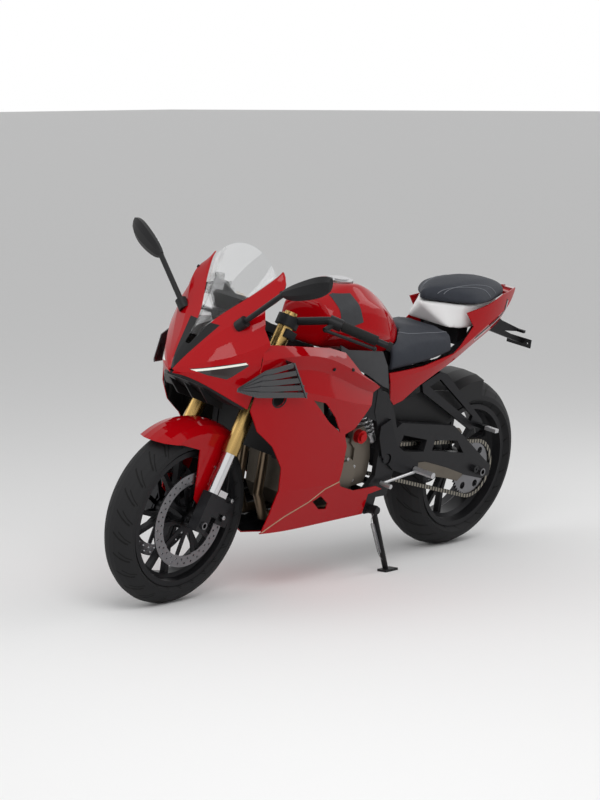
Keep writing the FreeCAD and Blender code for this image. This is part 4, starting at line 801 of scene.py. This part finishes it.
def skin_copy(panel, facing, most=0.25):
    """A panel's faces that look one way, on the upright bike."""
    piece = copy_of(panel, "sheet")
    piece.matrix_world = leaning.inverted()
    bpy.ops.object.transform_apply(location=True, rotation=True, scale=True)
    edit_all(piece, bpy.ops.mesh.remove_doubles, threshold=SKIN_GAP)
    select_faces(piece, lambda face: face.normal.dot(facing) < most)
    bpy.ops.mesh.delete(type="FACE")
    bpy.ops.object.mode_set(mode="OBJECT")
    return piece


print("skins are copied from panels")

# %% [markdown]
# A skin is then cut along a convex outline drawn from the side. A plane through each edge of the outline
# cuts away what lies outside it. The sheet that is left gets a small thickness outwards.

# %% Trim and thicken a sheet
def trim_to(piece, corners):
    """Cuts away what lies outside a convex outline, seen from the side in millimetres."""
    pairs = list(zip(corners, corners[1:] + corners[:1]))
    area = sum(x * next_z - next_x * z for (x, z), (next_x, next_z) in pairs)
    for (x, z), (next_x, next_z) in pairs:
        outwards = Vector((next_z - z, 0, x - next_x)).normalized() * math.copysign(1, area)
        edit_all(piece, bpy.ops.mesh.bisect, plane_co=upright(x, 0, z), plane_no=outwards, clear_outer=True)
    return piece


def thicken(piece, thickness):
    """Gives a sheet its thickness, outwards."""
    wall = piece.modifiers.new("Thickness", "SOLIDIFY")
    wall.thickness = thickness
    wall.offset = 1
    apply_all(piece)
    return piece


def band(start, end, near, far):
    """The outline of a straight stripe between two distances from a line, in millimetres."""
    first, last = Vector(start), Vector(end)
    along = (last - first).normalized()
    aside = Vector((-along.y, along.x))
    return (tuple(first + aside * near), tuple(last + aside * near), tuple(last + aside * far),
            tuple(first + aside * far))


print("sheets can be cut and thickened")

# %% [markdown]
# The rider's knees grip two rubber pads on the tank. A thin pale sheet along the belly pan's upper edge is a
# painted highlight, and the tail carries a narrow white line along its rear edge, with a black inlay beside
# it. Paint could show these too, but thin sheets keep their crisp edge at any distance.

# %% Tank pads, painted belly highlight and tail line
# Outlines and lines on the side view, in millimetres
TANK_PAD = ((780, 930), (866, 905), (866, 1012), (800, 1016))
BELLY_HIGHLIGHT_LINE = ((1190, 262), (1094, 306), (988, 344), (921, 384), (855, 402))
TAIL_LINE = ((118, 806), (-30, 846), (-92, 866), (-124, 922))
PAD_THICKNESS = 0.0016
STRIPE_THICKNESS = 0.0006

pad_rubber = blotched("PadRubber", (0.050, 0.052, 0.056), 0.65, grain=900.0, depth=0.0002)
# Stripe, panel, line, near and far edge in millimetres from the line, slot, finish
# The belly sheet is a painted highlight along the pan's upper edge, not a line of paint.
STRIPES = (("belly_highlight_", "belly_pan", BELLY_HIGHLIGHT_LINE, 1, 5, "white_paint", belly_edge_highlight),
           ("tail_line_", "tail_cowl", TAIL_LINE, -3, 2, "white_paint", white_paint),
           ("tail_inlay_", "tail_cowl", TAIL_LINE, -18, -5, "black_plastic", black_plastic))

for side, word in ((1, "left"), (-1, "right")):
    facing = Vector((0, side, 0))
    pad = thicken(trim_to(skin_copy(tank, facing), TANK_PAD), PAD_THICKNESS)
    settle(pad, "tank_pad_" + word, "chassis", pad_rubber)
    for name, panel, line, near, far, slot, finish in STRIPES:
        parts = [trim_to(skin_copy(nodes[panel], facing), band(start, end, near, far))
                 for start, end in zip(line, line[1:])]
        settle(thicken(joined(parts), STRIPE_THICKNESS), name + word, "chassis", finish)

# %% [markdown]
# The mirrors and the dash hold glass in a narrow rim. Each glass is the face that looks at the rider, drawn
# in from its rim, so it fits whatever outline the housing has.

# %% Mirror and dash glass
MIRROR_INNER = 0.262
MIRROR_RIM = 0.003
DASH_RIM = 0.007
DASH_FACING = Vector((-0.883, 0, 0.469))
GLASS_THICKNESS = 0.0008


def glass(node, facing, most, inner, rim):
    """The faces that look one way, further out than inner and drawn in by a rim."""
    piece = skin_copy(nodes[node], facing, most)
    select_faces(piece, lambda face: abs(face.center.y) < inner)
    bpy.ops.mesh.delete(type="FACE")
    bpy.ops.mesh.select_all(action="SELECT")
    bpy.ops.mesh.inset(thickness=rim, use_boundary=True)
    bpy.ops.mesh.select_all(action="INVERT")
    bpy.ops.mesh.delete(type="FACE")
    bpy.ops.object.mode_set(mode="OBJECT")
    return thicken(piece, GLASS_THICKNESS)


mirrors = glass("mirrors", Vector((-1, 0, 0)), most=0.6, inner=MIRROR_INNER, rim=MIRROR_RIM)
settle(mirrors, "mirror_glasses", "chassis", mirror_silver)
dash = glass("instrument_panel", DASH_FACING, most=0.9, inner=0, rim=DASH_RIM)
settle(dash, "dash_glass", "chassis", dash_glass)

# %% [markdown]
# Panels are held by cap screws. They are all alike, so one is modelled and copied: a short cylinder whose
# top is inset and raised for a bevelled rim, and inset and sunk again for the socket.

# %% Model one screw
SCREW_RADIUS = 0.006
SCREW_HEIGHT = 0.003
RIM_INSET = SCREW_RADIUS * 0.22
RIM_RISE = SCREW_HEIGHT * 0.25
SOCKET_INSET = SCREW_RADIUS * 0.30
SOCKET_DEPTH = SCREW_HEIGHT * 0.7
LOOKS_UP = 0.9

bpy.ops.object.select_all(action="DESELECT")
bpy.ops.mesh.primitive_cylinder_add(vertices=18, radius=SCREW_RADIUS, depth=SCREW_HEIGHT * 2)
screw = bpy.context.object
select_faces(screw, lambda face: face.normal.z > LOOKS_UP)
bpy.ops.mesh.inset(thickness=RIM_INSET)
bpy.ops.transform.translate(value=(0, 0, RIM_RISE))
bpy.ops.mesh.inset(thickness=SOCKET_INSET)
bpy.ops.mesh.extrude_region_move(TRANSFORM_OT_translate={"value": (0, 0, -SOCKET_DEPTH)})
bpy.ops.object.mode_set(mode="OBJECT")
print("one screw:", len(screw.data.polygons), "faces")

# %% [markdown]
# Screws stand square on curved panels, which is hard to place by eye. So a line from the side finds where
# each panel is met and which way it looks there, and the copy is turned to that.

# %% Set screws on a panel
RAY_START = 0.7


def on_skin(node, x, z, side, turn):
    """Where a line from the side meets a piece, and which way the piece looks there."""
    start = turn @ (upright(x, 0, z) + Vector((0, side * RAY_START, 0)))
    found, point, normal, face = nodes[node].ray_cast(start, turn.to_3x3() @ Vector((0, -side, 0)))
    if not found:
        raise ValueError(f"{node} isn't met at {x}, {z}")
    return point, normal


def set_screws(name, body, finish, node, places, turn=leaning, sides=(1, -1), size=1.0):
    """Copies of the screw on one panel, as one piece. Places are in millimetres."""
    heads = []
    for side in sides:
        for x, z in places:
            point, normal = on_skin(node, x, z, side, turn)
            head = copy_of(screw, "screw")
            head.matrix_world = Matrix.LocRotScale(point, normal.to_track_quat("Z", "Y"), Vector((size,) * 3))
            heads.append(head)
    settle(joined(heads), name, body, finish, IN_SCENE)


def ring_of(centre, radius, count):
    """Places round a centre."""
    return [(centre[0] + radius * math.cos(turn * math.tau / count),
             centre[1] + radius * math.sin(turn * math.tau / count)) for turn in range(count)]


set_screws("nose_screws", "chassis", black_plastic, "nose_cowl", ((1250, 1070),))
set_screws("fender_screws", "steering", bright_alloy, "front_fender",
           ((1333, 470), (1347, 421)), turned)
for word, side in (("left", 1), ("right", -1)):
    set_screws("fairing_screws_" + word, "chassis", black_plastic, "side_fairing_" + word,
               ((995, 808), (905, 800)), sides=(side,))
set_screws("cover_bolts", "chassis", bright_alloy, "engine_covers",
           ring_of((770, 395), radius=56, count=7))
set_screws("caliper_bolts", "steering", bright_alloy, "front_calipers",
           ((1250, 350), (1290, 300)), turned, size=1.2)
bpy.data.objects.remove(screw)

# %% [markdown]
# A round vent with a black rim sits on each flank. The rim is a circle whose edge is drawn outwards,
# thickened and bevelled. A ring from the add menu would have a round section and stand too proud. Four
# lines round the hole find the flank, and give the rim its middle and its slope.

# %% Vent rims
# The vent's middle and the lines' distance from it, in millimetres
VENT = (1246, 731)
BESIDE = 27
VENT_RADIUS = 0.0235
RIM_WIDTH = 0.005
RIM_THICKNESS = 0.004
RIM_EDGE = 0.0012

for word, side in (("left", 1), ("right", -1)):
    fore, aft, top, low = [on_skin("side_fairing_" + word, VENT[0] + x, VENT[1] + z, side, leaning)[0]
                           for x, z in ((BESIDE, 0), (-BESIDE, 0), (0, BESIDE), (0, -BESIDE))]
    slope = (top - low).cross(fore - aft).normalized() * side
    bpy.ops.object.select_all(action="DESELECT")
    bpy.ops.mesh.primitive_circle_add(vertices=40, radius=VENT_RADIUS)
    rim = bpy.context.object
    bpy.ops.object.mode_set(mode="EDIT")
    bpy.ops.mesh.select_mode(type="EDGE")
    bpy.ops.mesh.select_all(action="SELECT")
    bpy.ops.mesh.extrude_region_move()
    bpy.ops.transform.resize(value=(1 + RIM_WIDTH / VENT_RADIUS,) * 2 + (1,))
    bpy.ops.object.mode_set(mode="OBJECT")
    wall = rim.modifiers.new("Thickness", "SOLIDIFY")
    wall.thickness = RIM_THICKNESS
    wall.offset = 0
    soft = rim.modifiers.new("Edge", "BEVEL")
    soft.width = RIM_EDGE
    soft.segments = 2
    apply_all(rim)
    edit_all(rim, bpy.ops.mesh.normals_make_consistent, inside=False)
    rim.matrix_world = Matrix.LocRotScale((fore + aft + top + low) / 4, slope.to_track_quat("Z", "Y"), None)
    settle(rim, "vent_rim_" + word, "chassis", black_plastic, IN_SCENE)

# %% [markdown]
# Round wire makes the stand's spring and the brake hoses. Its course is a list of points, which becomes a
# curve with a round section and then a mesh. A curve is easier to lead from end to end than a cylinder is
# to bend.

# %% Draw a round wire
def wire(points, radius, kind="POLY"):
    """A round wire through points of the upright bike, in metres."""
    curve = bpy.data.curves.new("wire", "CURVE")
    curve.dimensions = "3D"
    curve.bevel_depth = radius
    curve.bevel_resolution = 2
    curve.use_fill_caps = True
    spline = curve.splines.new(kind)
    spline.points.add(len(points) - 1)
    for knot, point in zip(spline.points, points):
        knot.co = (*point, 1)
    spline.use_endpoint_u = True
    piece = bpy.data.objects.new("wire", curve)
    bpy.context.collection.objects.link(piece)
    only(piece)
    bpy.ops.object.convert(target="MESH")
    return bpy.context.object


print("wires are drawn through points")

# %% [markdown]
# A spring holds the stand down or up. Its coil turns round the line between its two ends, so a loop works
# its points out. A straight hook at each end ties it to the stand. Each brake hose runs up behind a fork
# leg, from the caliper to the clamps, and turns with the fork.

# %% Stand spring and brake hoses
SPRING_TOP = upright(648, 200, 236)
SPRING_FOOT = upright(578, 208, 92)
TOP_HOOK = upright(632, 196, 262)
FOOT_HOOK = upright(566, 209, 80)
SPRING_RADIUS = 0.0058
SPRING_WIRE = 0.0011
SPRING_TURNS = 26
COIL_START = 0.12
COIL_SHARE = 0.76
STEPS = 12
WIRE_ANGLE = 60

axis = SPRING_FOOT - SPRING_TOP
aside = axis.cross(Vector((0, 1, 0))).normalized()
other = axis.cross(aside).normalized()
coil = []
for step in range(SPRING_TURNS * STEPS + 1):
    turn = step * math.tau / STEPS
    middle = SPRING_TOP + axis * (COIL_START + COIL_SHARE * step / (SPRING_TURNS * STEPS))
    coil.append(middle + (aside * math.cos(turn) + other * math.sin(turn)) * SPRING_RADIUS)
spring = wire([TOP_HOOK, SPRING_TOP, *coil, SPRING_FOOT, FOOT_HOOK], SPRING_WIRE)
settle(spring, "stand_spring", "side_stand", steel, angle=WIRE_ANGLE)

# Points of the left hose in the fork's own frame, in millimetres
HOSE = ((-45, 98, 418), (-42, 97, 455), (-10, 93, 505), (3, 92, 570), (3, 89, 640), (6, 80, 712))
HOSE_RADIUS = 0.003

for word, side in (("left", 1), ("right", -1)):
    hose = wire([upright(x, y * side, z) for x, y, z in HOSE], HOSE_RADIUS, "NURBS")
    settle(hose, "brake_hose_" + word, "steering", grip_rubber, turned @ fork_turn, WIRE_ANGLE)

# %% [markdown]
# An amber reflector stands behind each fork leg, a little to its inner side, on a small black plate. Both
# are blocks with rounded edges. The edges are bevelled after the block has its size, so they are equally
# round all over.

# %% Fork reflectors
# Reflector piece, slot, finish, size, place on the left leg in the fork's own frame and edge, in millimetres
REFLECTOR = (("reflector_plate_", "black_plastic", black_plastic, (44, 3, 16), (12, 76, 515), 1.2),
             ("reflector_", "tail_lens", amber_lens, (18, 8, 36), (-4, 81, 522), 3))


def block(size, middle, edge):
    """A block with rounded edges, in millimetres."""
    bpy.ops.object.select_all(action="DESELECT")
    bpy.ops.mesh.primitive_cube_add(size=1, location=upright(*middle))
    piece = bpy.context.object
    piece.scale = upright(*size)
    bpy.ops.object.transform_apply(location=True, rotation=True, scale=True)
    soft = piece.modifiers.new("Edge", "BEVEL")
    soft.width = edge / 1000
    soft.segments = 3
    apply_all(piece)
    return piece


for word, side in (("left", 1), ("right", -1)):
    for name, slot, finish, size, (x, y, z), edge in REFLECTOR:
        settle(block(size, (x, side * y, z), edge), name + word, "steering", finish, turned @ fork_turn)

# %% [markdown]
# The floor stands for a studio sheet and takes the bike's shadow. A strong white world would light the bike
# far too much. So the world is dim as a light, and a mask makes it white only where it is seen: by the
# camera, in mirrors and through glass.

# %% Floor and world
FLOOR_WIDTH = 240
WORLD_LIGHT = 0.55
WORLD_SEEN = 1.0

bpy.ops.object.select_all(action="DESELECT")
bpy.ops.mesh.primitive_plane_add(size=FLOOR_WIDTH, location=(0, 0, 0))
floor = bpy.context.object
floor.name = "floor"
dress(floor, Finish("FloorSheet", (0.86, 0.86, 0.86), 0.9))

world = bpy.context.scene.world or bpy.data.worlds.new("World")
bpy.context.scene.world = world
world.use_nodes = True
sky = Recipe(world.node_tree)
camera_ray, glossy_ray, glass_ray = [
    sky.node("ShaderNodeLightPath", {}, {}, ray)
    for ray in ("Is Camera Ray", "Is Glossy Ray", "Is Transmission Ray")]
reflected = camera_ray.math("MAXIMUM", camera_ray, glossy_ray)
seen = reflected.math("MAXIMUM", reflected, glass_ray)
background = world.node_tree.nodes["Background"]
sky.plug(background.inputs["Color"], (1, 1, 1, 1))
sky.plug(background.inputs["Strength"], WORLD_LIGHT + seen * (WORLD_SEEN - WORLD_LIGHT))
print("world at", WORLD_LIGHT, "as a light and", WORLD_SEEN, "where it is seen")

# %% [markdown]
# Three large lamps give soft shadows, as a cloudy day does. The key light stands in front on the bike's
# left, a weaker one fills the other side, and one from behind draws the outline of seat and tail.

# %% Lamps
# Lamp, place, width, power
LAMPS = (
    ("key_light", (2.6, 2.4, 3.6), 2.6, 90),
    ("fill_light", (3.0, -2.8, 2.2), 2.4, 22),
    ("back_light", (-3.0, 1.2, 2.8), 2.2, 30),
)
LAMP_AIM = Vector((0, 0, 0.5))

for name, place, width, power in LAMPS:
    bpy.ops.object.light_add(type="AREA", location=place)
    lamp = bpy.context.object
    lamp.name = name
    lamp.data.size = width
    lamp.data.energy = power
    lamp.rotation_euler = (LAMP_AIM - Vector(place)).to_track_quat("-Z", "Y").to_euler()
print("lamps:", len(LAMPS))

# %% [markdown]
# The camera stands where the photographer's did. Its place and its turn were measured once from the
# outlines of both tyres and the stand's foot, so the render can be laid over the photograph.

# %% Camera
AZIMUTH = math.radians(41.70)
YAW = math.radians(0.19)
PITCH = math.radians(7.21)
ROLL = math.radians(-0.27)
AIM_AHEAD = 0.7
DISTANCE = 8.515
CAMERA_HEIGHT = 1.671
LENS = 112.0
SENSOR_WIDTH = 36.0

bpy.ops.object.camera_add()
camera = bpy.context.object
bpy.context.scene.camera = camera
camera.data.lens = LENS
camera.data.sensor_width = SENSOR_WIDTH
heading = AZIMUTH + math.pi + YAW
view = Vector((math.cos(heading) * math.cos(PITCH), math.sin(heading) * math.cos(PITCH), -math.sin(PITCH)))
flat_right = view.cross(Vector((0, 0, 1))).normalized()
flat_up = flat_right.cross(view)
right = flat_right * math.cos(ROLL) + flat_up * math.sin(ROLL)
up = flat_up * math.cos(ROLL) - flat_right * math.sin(ROLL)
aim = Vector((leaning[0][3] + AIM_AHEAD, leaning[1][3], 0))
spot = aim + Vector((DISTANCE * math.cos(AZIMUTH), DISTANCE * math.sin(AZIMUTH), CAMERA_HEIGHT))
camera.matrix_world = Matrix(((right.x, up.x, -view.x, spot.x), (right.y, up.y, -view.y, spot.y),
                              (right.z, up.z, -view.z, spot.z), (0, 0, 0, 1)))
print("camera at", [round(c, 3) for c in spot])

# %% [markdown]
# Last come the render settings.

# %% Render settings
scene = bpy.context.scene
scene.render.engine = "CYCLES"
scene.cycles.samples = 220
scene.cycles.use_denoising = True
scene.render.resolution_x = 600
scene.render.resolution_y = 800
scene.view_settings.view_transform = "Standard"
